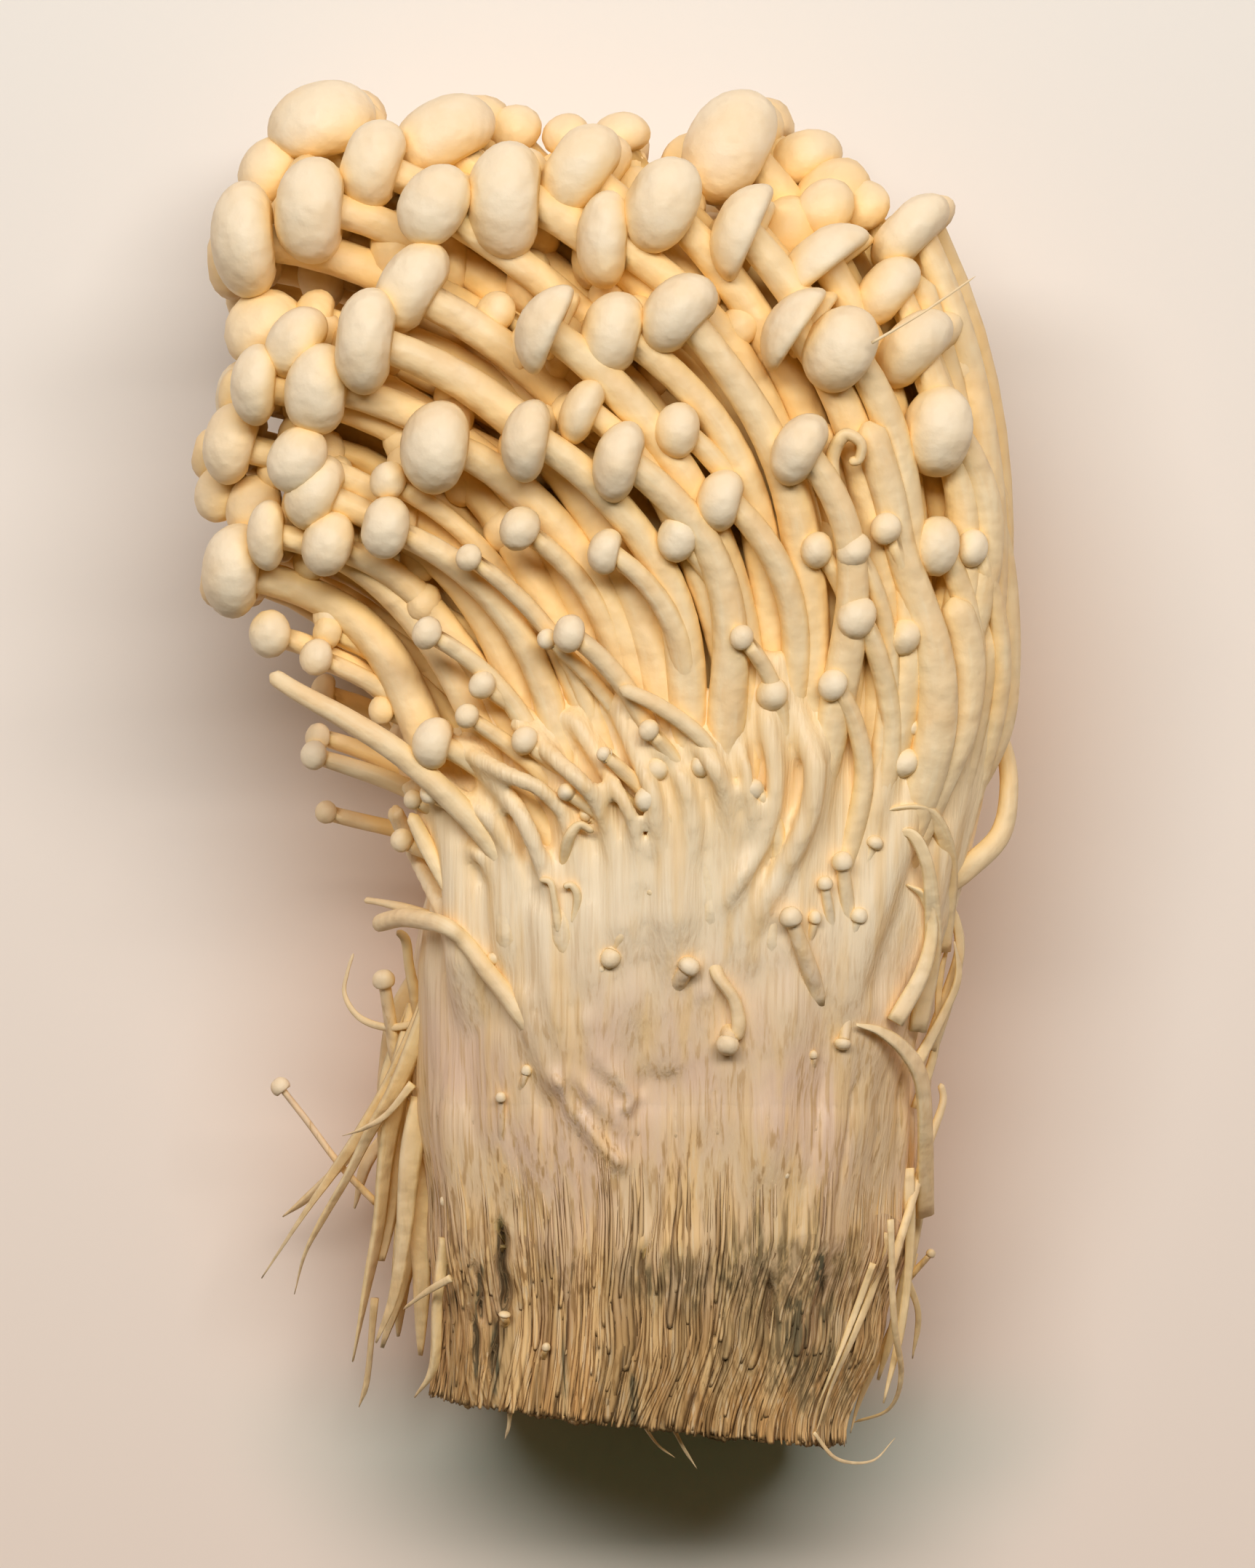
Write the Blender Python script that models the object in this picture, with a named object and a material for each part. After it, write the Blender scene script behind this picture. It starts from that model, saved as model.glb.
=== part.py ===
"""Enoki mushroom bunch, lying on its side as cut from its growing bottle.

The bunch is one growth in two colours. The butt is the brown, fibrous end that was cut from the
growing medium. Above it the cream flesh starts as a collar of fused stems, parts into single stems
and ends in small round caps. The stems rise from the collar, sweep over to the left and get longer
towards the middle of the bunch, so the caps lie over each other in tiers.

+X is the right of the bunch, +Y runs from the cut end to the caps, +Z is up, and the bunch rests on
the plane Z = 0. All sizes below are millimetres; MM turns them into metres as meshes are made.
"""

import math
import random

import bmesh
import bpy
from mathutils import Vector

MM = 0.001
ORIGIN = (0.6, 0.9)  # where the middle of the bunch's box lies, in the plan below

# The body of the bunch: at each Y, its left and right edges and the height of its front.
SECTIONS = (
    (-67.0, -17.0, 23.5, 35.0),
    (-56.0, -17.0, 27.5, 36.5),
    (-46.0, -18.5, 30.5, 38.5),
    (-34.0, -20.0, 31.5, 40.0),
    (-22.0, -19.5, 33.0, 41.5),
    (-10.0, -20.0, 35.0, 43.0),
    (5.0, -30.0, 39.5, 45.5),
    (20.0, -38.0, 40.5, 48.0),
    (40.0, -39.0, 38.0, 48.0),
    (55.0, -38.0, 33.0, 43.0),
    (67.0, -31.0, 21.0, 31.0),
)
MIDDLE_SHARE = 0.5  # the middle plane's height, as a share of the front's
CUT_Y = -65.6  # the cut end, at X = 0
CUT_SLOPE = -0.115  # the cut runs a little lower on the right
SEAM_Y = -47.0  # where the brown butt turns into the cream collar
SEAM_GAP = 0.3
ROOT_Y = -21.0  # where the stems leave the collar
RIBS = 18  # fused stems that show round the body
COLLAR_SIDES = 72
BUTT_SIDES = 126

# The mushrooms in front, in tiers: cap centre X, Y, cap width and cap thickness as seen from the front.
RIM = (
    (-29.5, 66.4, 11.2, 8.2), (-17.0, 65.2, 11.0, 7.4), (-9.3, 65.0, 5.8, 5.2), (1.0, 64.4, 5.8, 4.6),
    (19.6, 62.6, 8.0, 5.6),
)
CROWN = (
    (-35.0, 60.0, 7.6, 5.2), (-24.0, 61.6, 9.6, 5.6), (-30.2, 57.5, 11.0, 7.0), (-37.0, 53.8, 12.6, 6.6),
    (-17.6, 57.2, 8.6, 6.6), (-10.6, 57.8, 12.2, 7.6), (-2.6, 60.4, 10.0, 6.6), (-0.4, 53.2, 10.2, 4.6),
    (4.8, 56.2, 9.6, 7.6), (12.2, 64.0, 12.4, 9.0), (12.2, 53.6, 10.6, 4.2), (21.6, 52.2, 9.8, 3.8),
    (30.4, 55.4, 9.8, 4.6),
)
UPPER = (
    (-20.2, 48.3, 9.6, 5.6), (-24.4, 43.2, 11.0, 6.0), (-31.2, 43.6, 8.0, 5.4), (-35.4, 38.8, 8.6, 4.4),
    (-29.0, 38.8, 9.6, 6.2), (-7.1, 44.2, 9.6, 3.8), (0.5, 43.3, 9.0, 5.8), (7.1, 46.2, 9.2, 6.0),
    (18.4, 44.8, 9.6, 3.4), (23.1, 42.7, 9.2, 6.4), (28.2, 48.9, 8.0, 4.8), (30.4, 42.4, 9.6, 5.2),
    (33.0, 35.0, 9.4, 6.8),
)
MIDDLE = (
    (-38.3, 33.6, 8.4, 5.0), (-32.2, 32.1, 7.4, 5.2), (-29.6, 28.0, 8.0, 4.6), (-17.5, 33.0, 9.8, 6.6),
    (-8.1, 33.0, 8.6, 4.4), (-2.7, 36.3, 7.4, 3.4), (0.8, 31.0, 8.2, 4.2), (6.6, 34.0, 5.2, 4.4),
    (18.6, 32.3, 7.6, 3.8), (-38.0, 20.0, 9.8, 5.6), (-28.3, 23.0, 6.6, 5.0), (-22.3, 24.4, 6.4, 4.4),
    (11.2, 27.0, 6.6, 3.8),
)
FRINGE = (
    (-9.1, 24.5, 4.8, 3.4), (-0.5, 22.0, 4.4, 3.0), (7.0, 22.8, 5.2, 4.4), (20.6, 22.2, 3.9, 3.3),
    (32.4, 22.4, 6.4, 5.2), (24.8, 15.7, 4.8, 4.2), (-4.0, 13.9, 4.2, 3.0), (-29.3, 11.8, 3.7, 3.3),
    (-17.9, 2.9, 5.6, 3.7), (-29.8, 2.1, 3.1, 2.7), (16.3, 7.8, 3.5, 3.0), (29.3, 1.0, 3.3, 2.8),
    (3.6, -2.5, 2.9, 2.5), (-21.0, -6.6, 2.4, 2.3),
)
# How far each tier stands towards the front, and how far its caps turn from pointing along the sweep.
FRONT_TIERS = ((RIM, 0.75, -45.0), (CROWN, 0.95, 0.0), (UPPER, 1.0, 0.0), (MIDDLE, 1.0, 0.0), (FRINGE, 1.0, 0.0))
# The rows that the bunch lies on, and the rows between those and the front: Y, share of the depth from
# the middle plane, mushrooms in the row, cap width.
BACK_ROWS = (
    (60.0, -0.85, 3, 11.5), (48.0, -1.0, 4, 11.0), (35.0, -1.0, 3, 9.0), (21.0, -1.0, 3, 7.0), (7.0, -1.0, 2, 4.5),
    (62.0, -0.15, 4, 10.5),
)
SIDE_ROWS = ((50.0, 0.42, 9.0), (38.0, 0.6, 8.0), (31.0, 0.3, 8.0), (20.0, 0.5, 6.5), (8.0, 0.4, 4.5))
BACK_SEED = 7

# Torn stems and strips that hang from the collar: the points of each, then its radius at root and tip.
STRANDS = (
    (((-16, -24, 18), (-23, -35, 16), (-29, -44, 15), (-32.3, -52, 14), (-32.6, -57, 14)), 1.1, 0.35),
    (((-17, -28, 12), (-25, -38, 11), (-31, -46, 9), (-35.4, -51.5, 8)), 1.0, 0.35),
    (((-15, -27, 22), (-22.5, -38, 22), (-24, -48, 21), (-26.6, -59.5, 20)), 1.7, 0.7),
    (((-15, -38, 27), (-20.5, -48, 27), (-24, -58, 26)), 1.5, 0.5),
    (((-13, -30, 30), (-20, -25.6, 30), (-25, -25.4, 30), (-27.2, -22, 30), (-26.6, -18, 30)), 0.6, 0.35),
    (((1, -36, 38), (-5, -30, 40.5), (-10, -22.5, 41.5), (-15, -16, 42), (-20, -14, 40), (-23.6, -15.2, 38)), 0.6, 1.1),
    (((26, -20, 26), (33, -12.5, 28), (38.6, -8, 29), (41.2, -2.4, 29), (40.0, 4.0, 29), (37, 10, 27)), 1.1, 1.0),
    (((26, -44, 24), (31.5, -40, 25), (33.8, -34, 26), (33.6, -30.6, 27)), 0.8, 0.45),
    (((27, -32, 18), (32.5, -26, 18), (35.6, -19, 18), (34.8, -13, 18)), 1.2, 0.6),
    (((28, -16, 24), (37, -3, 26), (41.0, 9, 26), (40.6, 22, 27), (38, 38, 28), (31.5, 54, 31)), 1.6, 1.3),
)
# Small mushrooms that stick out of the torn side: root, tip, cap width.
OUTLIERS = (
    ((-14, -42, 17), (-34.0, -31.8, 15), 2.3),
    ((-15, -32, 24), (-22.8, -20.6, 24), 2.5),
)

CREAM = ((0.86, 0.70, 0.46, 1.0), 0.45)
BROWN = ((0.42, 0.28, 0.16, 1.0), 0.85)


# ------------------------------------------------------------------ plan of the bunch
def blend(a, b, t):
    return a + (b - a) * t


def section(y):
    """(left edge, right edge, front height) of the bunch's body at y."""
    y = min(max(y, SECTIONS[0][0]), SECTIONS[-1][0])
    for low, high in zip(SECTIONS, SECTIONS[1:]):
        if y <= high[0]:
            t = (y - low[0]) / (high[0] - low[0])
            t = t * t * (3 - 2 * t)
            return tuple(blend(a, b, t) for a, b in zip(low[1:], high[1:]))
    return SECTIONS[-1][1:]


def middle_height(y):
    return MIDDLE_SHARE * section(y)[2]


def depth_at(x, y):
    """How far the body's surface stands in front of, or behind, the middle plane."""
    left, right, front = section(y)
    across = (x - (left + right) / 2) / ((right - left) / 2 + 3)
    return (front - middle_height(y)) * max(0.0, 1 - across * across) ** 0.45


def root_share(x, y):
    """Where the stem of a cap at x, y leaves the collar: 0 at its left edge, 1 at its right."""
    low = min(max(0.46 + 0.0165 * x, 0.03), 0.97)
    return 1 - (1 - low) * (1 - max(y, 0.0) / 85)


def sweep_angle(x):
    """The way that a stem's tip points, seen from the front: left on the left side, up on the right."""
    return math.radians(143 - 0.9 * x)


def cap_angle(x, turn):
    return math.radians(160 - 0.45 * x + turn)


# ------------------------------------------------------------------ scene set-up
def clear_scene():
    for obj in list(bpy.data.objects):
        bpy.data.objects.remove(obj)


def collection(name):
    made = bpy.data.collections.new(name)
    bpy.context.scene.collection.children.link(made)
    return made


def material(name, colour, roughness):
    made = bpy.data.materials.new(name)
    made.use_nodes = True
    shader = made.node_tree.nodes["Principled BSDF"]
    shader.inputs["Base Color"].default_value = colour
    shader.inputs["Roughness"].default_value = roughness
    return made


def mesh_object(name, bm, into):
    mesh = bpy.data.meshes.new(name)
    bmesh.ops.recalc_face_normals(bm, faces=bm.faces)
    bm.to_mesh(mesh)
    bm.free()
    obj = bpy.data.objects.new(name, mesh)
    into.objects.link(obj)
    return obj


def placed(x, y, z):
    """A point of the plan, in metres, measured from the row's origin."""
    return Vector((x - ORIGIN[0], y - ORIGIN[1], z)) * MM


# ------------------------------------------------------------------ stems, caps and strands
def tube(name, points, radii, sides, into):
    """A tube of that many sides through the points, as a closed mesh."""
    curve = bpy.data.curves.new(name, "CURVE")
    curve.dimensions = "3D"
    curve.bevel_depth = MM
    curve.bevel_resolution = sides // 2 - 2
    curve.use_fill_caps = True
    spline = curve.splines.new("POLY")
    spline.points.add(len(points) - 1)
    for point, co, radius in zip(spline.points, points, radii):
        point.co = (*placed(*co), 1)
        point.radius = radius
    guide = bpy.data.objects.new(name, curve)
    into.objects.link(guide)
    bpy.context.view_layer.update()
    mesh = bpy.data.meshes.new_from_object(guide.evaluated_get(bpy.context.evaluated_depsgraph_get()))
    bpy.data.objects.remove(guide)
    bm = bmesh.new()
    bm.from_mesh(mesh)
    bmesh.ops.remove_doubles(bm, verts=bm.verts, dist=0.002 * MM)
    return mesh_object(name, bm, into)


def bezier(root, lift, lead, tip, count):
    """Evenly numbered points along the curve that leaves root towards lift and reaches tip from lead."""
    points = []
    for i in range(count):
        t = i / (count - 1)
        points.append(
            root * (1 - t) ** 3 + lift * 3 * t * (1 - t) ** 2 + lead * 3 * t * t * (1 - t) + tip * t**3
        )
    return points


def stem_radius(width):
    """Half a stem's thickness, from the width of its cap."""
    return 0.42 + 0.115 * width


def cap(name, centre, axis, width, thickness, into):
    """A bun: round above, flatter below, its axis along the stem's tip."""
    big = width > 8.2
    bm = bmesh.new()
    bmesh.ops.create_uvsphere(bm, u_segments=8 if big else 6, v_segments=4, radius=0.5)
    turn = axis.to_track_quat("Z", "Y")
    for vert in bm.verts:
        dome = 1.15 if vert.co.z > 0 else 0.8
        full = 1.05 if 0.1 < abs(vert.co.z) < 0.45 else 1.0  # the ring between the rim and the pole
        shaped = Vector((vert.co.x * width, vert.co.y * width, vert.co.z * thickness * dome)) * full
        vert.co = placed(*(centre + turn @ shaped))
    return mesh_object(name, bm, into)


def mushroom(name, x, y, z, side, width, seen, turn, into):
    """One mushroom from the place of its cap. side is 1 in front of the middle plane and -1 behind it."""
    share = root_share(x, y)
    left, right, front = section(ROOT_Y)
    reach = depth_at(x, y)
    root_depth = (z - middle_height(y)) / max(reach, 1.0) * (1 - 0.5 * (y - ROOT_Y) / 95)
    root_x = blend(left + 3, right - 3, share)
    root = Vector((root_x, ROOT_Y, middle_height(ROOT_Y) + root_depth * (depth_at(root_x, ROOT_Y) - 2.0)))

    thick = min(seen, 0.66 * width)
    tilt = math.asin(min(1.0, math.sqrt(max(0.0, seen**2 - thick**2) / (width**2 - thick**2)))) * 0.8
    facing = cap_angle(x, turn)
    axis = Vector((math.cos(facing) * math.cos(tilt), math.sin(facing) * math.cos(tilt), side * math.sin(tilt)))
    centre = Vector((x, y, z))
    tip = centre - axis * thick * 0.2

    away = (tip - root).length
    lean = sweep_angle(x)
    lead = Vector((math.cos(lean), math.sin(lean), side * 0.2)).normalized()
    fan = 0.22 * (share - 0.35)
    lift = root + Vector((fan, 1, side * 0.06)) * 0.42 * away
    big = width > 8.2
    count = 6 if away > 80 and side > 0 else 5
    if width < 3.6:
        count = 4
    points = bezier(root, lift, tip - lead * 0.36 * away, tip, count)
    radius = stem_radius(width)
    radii = [radius * blend(1.25, 0.86, i / (count - 1)) for i in range(count)]
    tube(f"{name}_stem", points, radii, 6 if big and side > 0 else 4, into)
    cap(f"{name}_cap", centre, axis, width, thick, into)


def front_mushrooms(into):
    for tier, (places, stand, turn) in enumerate(FRONT_TIERS):
        for k, (x, y, width, seen) in enumerate(places):
            z = middle_height(y) + stand * depth_at(x, y) + (0.8 if k % 2 else -0.8)
            mushroom(f"front_{tier}_{k}", x, y, z, 1, width, seen, turn, into)


def back_mushrooms(into):
    """Rows across the underside and up the left side, jittered, resting on the plane Z = 0."""
    draw = random.Random(BACK_SEED)
    for row, (y, stand, count, width) in enumerate(BACK_ROWS):
        left, right, _ = section(y)
        for k in range(count):
            x = blend(left + 4, right - 5, (k + 0.5) / count) + draw.uniform(-2.5, 2.5)
            at = y + draw.uniform(-3.5, 3.5)
            size = width * draw.uniform(0.8, 1.15)
            z = max(middle_height(at) + stand * depth_at(x, at), 0.42 * size)
            seen = size * draw.uniform(0.5, 0.8)
            mushroom(f"back_{row}_{k}", x, at, z, -1, size, seen, draw.uniform(-12, 12), into)
    for row, (y, height, width) in enumerate(SIDE_ROWS):
        left, _, front = section(y)
        mushroom(f"side_{row}", left + 1.5, y, height * front, -1, width, 0.6 * width, 0.0, into)


def strands(into):
    for k, (points, root_radius, tip_radius) in enumerate(STRANDS):
        last = len(points) - 1
        radii = [blend(root_radius, tip_radius, i / last) for i in range(last + 1)]
        tube(f"strand_{k}", points, radii, 4, into)
    for k, (root, tip, width) in enumerate(OUTLIERS):
        root, tip = Vector(root), Vector(tip)
        axis = (tip - root).normalized()
        middle = (root + tip) / 2 + Vector((0.6, 0.4, 0.5))
        tube(f"outlier_{k}_stem", [root, middle, tip], [0.75, 0.6, 0.5], 4, into)
        cap(f"outlier_{k}_cap", tip, axis, width, width * 0.75, into)


# ------------------------------------------------------------------ fused body: collar and butt
def rib(angle, y, height):
    """Height of the fused stems' ribs at that angle round the body; they wander a little along it."""
    wander = 0.5 * math.sin(y * 0.07 + 3 * math.sin(angle * 2))
    beat = 0.7 + 0.3 * math.sin(angle * 5 + 1.7)
    return height * beat * math.cos(RIBS * angle + wander)


def ring_points(y_of, sides, inset, rib_height, at):
    """One ring of the body at y = at. y_of(x, i) tilts or frays the ring."""
    left, right, front = section(at)
    middle = front / 2
    points = []
    for i in range(sides):
        angle = 2 * math.pi * i / sides
        bulge = rib(angle, at, rib_height)
        half_x = (right - left) / 2 - inset + bulge
        half_z = front / 2 + 1.2 - inset + bulge
        c, s = math.cos(angle), math.sin(angle)
        x = (left + right) / 2 + half_x * math.copysign(abs(c) ** 0.78, c)
        z = middle + half_z * math.copysign(abs(s) ** 0.78, s)
        points.append(placed(x, y_of(x, i), z))
    return points


def loft(name, rings, into):
    """A closed body through rings of equal count, its two ends filled from their middles."""
    bm = bmesh.new()
    loops = [[bm.verts.new(point) for point in ring] for ring in rings]
    sides = len(rings[0])
    for low, high in zip(loops, loops[1:]):
        for i in range(sides):
            j = (i + 1) % sides
            bm.faces.new((low[i], low[j], high[j], high[i]))
    for end in (loops[0], loops[-1]):
        middle = bm.verts.new(sum((vert.co for vert in end), Vector()) / sides)
        for i in range(sides):
            bm.faces.new((end[i], end[(i + 1) % sides], middle))
    bmesh.ops.triangulate(bm, faces=bm.faces)
    return mesh_object(name, bm, into)


def collar(into):
    """The cream body: fused stems from the seam up to where they part."""
    stations = ((SEAM_Y, 0.0), (-37.0, 0.0), (-26.0, 0.0), (-17.0, 0.6), (-11.0, 4.0))
    rings = [ring_points(lambda x, i: at, COLLAR_SIDES, inset, 0.85, at) for at, inset in stations]
    return loft("mushrooms", rings, into)


def core(into):
    """The packed stems inside the bunch, as one body that narrows and leans with their sweep."""
    stations = ((-16.0, 2.0), (-4.0, 4.5), (8.0, 10.0), (20.0, 14.5), (30.0, 19.0))
    rings = []
    for at, inset in stations:
        drift = Vector((-0.22 * max(0.0, at + 5) * MM, 0, 0))
        ring = ring_points(lambda x, i: at, 16, inset, 0.0, at)
        rings.append([point + drift for point in ring])
    return loft("core", rings, into)


def butt(into):
    """The brown end: stems fused into coarse fibres, cut off a little askew, with frayed ends."""
    draw = random.Random(3)
    fray = [draw.uniform(-0.9, 0.9) for _ in range(BUTT_SIDES)]

    def cut(x, i):
        return CUT_Y + CUT_SLOPE * x

    def frayed(x, i):
        return cut(x, i) + fray[i]

    rings = [
        ring_points(cut, BUTT_SIDES, 3.0, 0.0, -66.0),
        ring_points(cut, BUTT_SIDES, 1.3, 0.5, -66.0),
        ring_points(frayed, BUTT_SIDES, 0.0, 0.8, -65.0),
    ]
    for at in (-61.5, -57.0, -52.0):
        rings.append(ring_points(lambda x, i: at + 0.03 * (x - 6), BUTT_SIDES, 0.0, 0.8, at))
    rings.append(ring_points(lambda x, i: SEAM_Y - SEAM_GAP, BUTT_SIDES, 0.0, 0.7, SEAM_Y))
    return loft("butt", rings, into)


# ------------------------------------------------------------------ assembly
def boolean(obj, operation, other):
    """Joins a collection's objects to obj, or cuts one object from it."""
    modifier = obj.modifiers.new(operation.title(), "BOOLEAN")
    modifier.operation = operation
    modifier.solver = "MANIFOLD"
    if isinstance(other, bpy.types.Collection):
        modifier.operand_type = "COLLECTION"
        modifier.collection = other
    else:
        modifier.object = other
    return modifier


def apply_modifiers(obj):
    bpy.context.view_layer.update()
    mesh = bpy.data.meshes.new_from_object(obj.evaluated_get(bpy.context.evaluated_depsgraph_get()))
    obj.modifiers.clear()
    obj.data = mesh


def fill_cavities(obj):
    """Removes the inner shells that the union leaves where stems close off a gap between them."""
    bm = bmesh.new()
    bm.from_mesh(obj.data)
    unseen = set(bm.verts)
    shells = []
    while unseen:
        shell, edge = set(), [unseen.pop()]
        while edge:
            vert = edge.pop()
            shell.add(vert)
            near = {link.other_vert(vert) for link in vert.link_edges} & unseen
            unseen -= near
            edge.extend(near)
        shells.append(shell)
    shells.sort(key=len)
    for shell in shells[:-1]:
        bmesh.ops.delete(bm, geom=list(shell), context="VERTS")
    bm.to_mesh(obj.data)
    bm.free()


def ground(into):
    """The surface that the bunch lies on, as a cutter: it presses small flats on the underside."""
    bm = bmesh.new()
    bmesh.ops.create_cube(bm, size=1.0)
    for vert in bm.verts:
        vert.co = Vector((vert.co.x * 200, vert.co.y * 200, vert.co.z * 40 - 20)) * MM
    cutter = mesh_object("ground", bm, into)
    cutter.hide_render = True
    cutter.display_type = "WIRE"
    return cutter


def finish(obj, look):
    obj.data.materials.clear()
    obj.data.materials.append(look)
    obj.data.shade_smooth()
    obj.data.set_sharp_from_angle(angle=math.radians(50))


def main():
    clear_scene()
    parts = collection("enoki_bunch")
    cutters = collection("cutters")
    growth = collection("growth")
    cream = material("cream_flesh", *CREAM)
    brown = material("brown_butt", *BROWN)

    bunch = collar(parts)
    core(growth)
    front_mushrooms(growth)
    back_mushrooms(growth)
    strands(growth)
    boolean(bunch, "UNION", growth)
    apply_modifiers(bunch)
    fill_cavities(bunch)
    for obj in list(growth.objects):
        bpy.data.objects.remove(obj)
    bpy.data.collections.remove(growth)

    end = butt(parts)
    floor = ground(cutters)
    for obj, look in ((bunch, cream), (end, brown)):
        boolean(obj, "DIFFERENCE", floor)
        apply_modifiers(obj)
        finish(obj, look)


main()
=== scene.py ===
"""Enoki mushroom bunch, cut from its growing bottle and laid on its side."""

import math
import random

import bpy
import numpy as np
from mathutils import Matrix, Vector, noise


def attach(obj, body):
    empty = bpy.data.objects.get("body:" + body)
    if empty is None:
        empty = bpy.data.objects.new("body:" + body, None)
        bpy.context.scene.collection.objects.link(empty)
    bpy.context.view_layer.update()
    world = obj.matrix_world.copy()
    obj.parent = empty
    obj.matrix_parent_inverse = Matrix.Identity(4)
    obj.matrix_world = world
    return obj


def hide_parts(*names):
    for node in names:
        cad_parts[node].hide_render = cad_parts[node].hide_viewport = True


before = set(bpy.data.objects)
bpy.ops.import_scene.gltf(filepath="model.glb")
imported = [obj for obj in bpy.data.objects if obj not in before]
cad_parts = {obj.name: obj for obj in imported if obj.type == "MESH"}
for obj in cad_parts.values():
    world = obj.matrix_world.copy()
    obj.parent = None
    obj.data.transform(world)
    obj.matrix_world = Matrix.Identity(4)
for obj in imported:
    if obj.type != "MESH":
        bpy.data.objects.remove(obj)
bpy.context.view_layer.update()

# ---------------------------------------------------------------------- Collar
# The middle of the bunch, where the stems have grown together into one body. It is pale flesh,
# pressed into long flat ribs by the neck of the bottle, and greyer and drier than the stems above.
# It runs down into the butt with no seam, so both are cut from one skin, shaped here.

MM = 0.001
PLAN_ZERO = np.array((0.6, 0.9, 0.0))  # the plan is in millimetres; this point of it is the frame's origin
# At each Y: the body's left and right edges, and the height of its front.
OUTLINE = np.array((
    (-67, -17, 23.5, 35), (-56, -17, 27.5, 36.5), (-46, -18.5, 30.5, 38.5), (-34, -20, 31.5, 40),
    (-22, -19.5, 33, 41.5), (-10, -20, 35, 43), (5, -30, 39.5, 45.5), (20, -38, 40.5, 48),
    (40, -39, 38, 48), (55, -38, 33, 43), (67, -31, 21, 31),
))
ROUNDNESS = 0.78  # of the section: 1 is an ellipse, less is fuller at its corners
SEAM_Y, COLLAR_TOP = -47.0, -17.0
COLLAR_SIDES, COLLAR_RINGS = 460, 80
FRONT_CROWDING = 0.085  # how much closer together the skin's points stand on the front
GIRTH = 148.0  # distance round the body, on which the ribs are laid out
RIB_HEIGHT, RIB_LOSS = 1.25, 0.65  # of the fused stems at the top, and how much of it is gone at the cut
FIBRE_HEIGHT, FIBRE_GAIN = 0.30, 0.41  # of the fine fibres on the collar, and what the butt adds
LEAST_HEIGHT = 0.02  # nothing reaches down to the surface itself
CRACKS = (  # dark splits in the skin: x at the top and bottom, y at the top and bottom, half width, depth
    (-11, -10.4, -45.5, -54, 0.42, 3.8), (-13.4, -12.6, -49.5, -55.5, 0.28, 2.2),
    (-13.9, -13.2, -54, -60, 0.26, 2), (-11.2, -11.9, -55.5, -61, 0.3, 2.2),
    (3.5, 3.2, -47.5, -52, 0.3, 1.2), (15.6, 16.4, -50, -56, 0.35, 1.6), (21.4, 20.8, -49, -54, 0.3, 1.3),
)
FOLDS = (  # soft folds in the front: height (less than 0 for a hollow), half width, and the way it runs
    (1.4, 1.2, ((-6.8, -14), (-6.2, -21), (-5, -25.5), (-3.6, -29.5), (-2.2, -32), (0.3, -35.1),
        (2, -36.2))),
    (1, 0.8, ((-2.4, -24.5), (-2, -27), (-1.1, -28.8), (0.9, -30.5), (2.3, -32.6), (1.9, -33.4))),
    (1.1, 0.9, ((-5.4, -30.5), (-3.8, -33.6), (-2, -35.8), (-0.4, -37.8), (0.9, -39))),
    (1.1, 1.1, ((-8.6, -22.6), (-7.8, -26.1), (-6.7, -28.6), (-5.4, -31))),
    (-0.6, 0.8, ((-10.2, -24.6), (-9.1, -27.8), (-7.7, -30.4), (-6.6, -33.4), (-6.2, -38))),
    (-0.45, 0.45, ((6.1, -17), (6.3, -22), (6.5, -30), (6.6, -36), (6.3, -43), (6.6, -49))),
    (0.6, 1.6, ((8.6, -12), (9.6, -20), (9.8, -30), (9.2, -38))),
    (-0.4, 1.1, ((13.6, -16), (14.4, -24), (13.4, -33), (12.6, -42))),
    (0.7, 1.9, ((17.6, -14), (17.6, -24), (16.4, -34), (15.4, -43))),
    (-0.5, 1.6, ((22.4, -20), (21, -30), (18.6, -39), (18, -46))),
    (0.8, 1.8, ((26.4, -24), (25.6, -34), (23.4, -43), (21.4, -51))),
    (-0.4, 0.7, ((29.6, -28), (28.8, -38), (26.4, -48), (24, -57))),
    (0.6, 1.1, ((-17.4, -22), (-17, -32), (-16.6, -40), (-14.8, -47))),
    (-0.4, 0.7, ((-14.4, -20), (-14.2, -30), (-13.6, -40))),
    (0.5, 1.2, ((-11.6, -27), (-11.2, -36), (-9.6, -44))),
    (0.9, 1, ((-3.4, 4), (-2.6, -4), (-2.2, -12), (-1.6, -24))),
    (-0.4, 0.5, ((-1, 2), (-0.2, -6), (0.2, -14), (0.8, -22))),
    (0.9, 1.1, ((1.4, 6), (1.8, -2), (2.2, -12), (2.6, -26))),
    (0.8, 1, ((5.2, 6), (4.6, -2), (4.2, -10), (4.4, -20))),
    (-0.5, 0.5, ((7.4, 8), (6.4, 0), (5.8, -8), (6, -17))),
    (0.9, 1.2, ((12.2, 10), (10.6, 2), (9.2, -6), (8.6, -12))),
    (0.9, 1.1, ((16.6, 8), (14.6, -2), (12.8, -12), (11.6, -24))),
    (0.8, 1, ((21, 4), (19.4, -4), (17.8, -14))),
    (0.8, 1, ((-8.4, -2), (-7.4, -8), (-6.8, -14))),
    (0.8, 0.9, ((-13.6, -6), (-11.8, -13), (-10.2, -20))),
    (0.7, 0.9, ((-17.4, -8), (-15.6, -15), (-14.8, -24))),
)


def section(y):
    """Left edge, right edge and front height of the bunch's body at y."""
    y = np.clip(y, OUTLINE[0, 0], OUTLINE[-1, 0])
    k = np.clip(np.searchsorted(OUTLINE[:, 0], y) - 1, 0, len(OUTLINE) - 2)
    t = (y - OUTLINE[k, 0]) / (OUTLINE[k + 1, 0] - OUTLINE[k, 0])
    t = t * t * (3 - 2 * t)
    low, high = OUTLINE[k, 1:], OUTLINE[k + 1, 1:]
    return np.moveaxis(low + (high - low) * np.asarray(t)[..., None], -1, 0)


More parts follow.
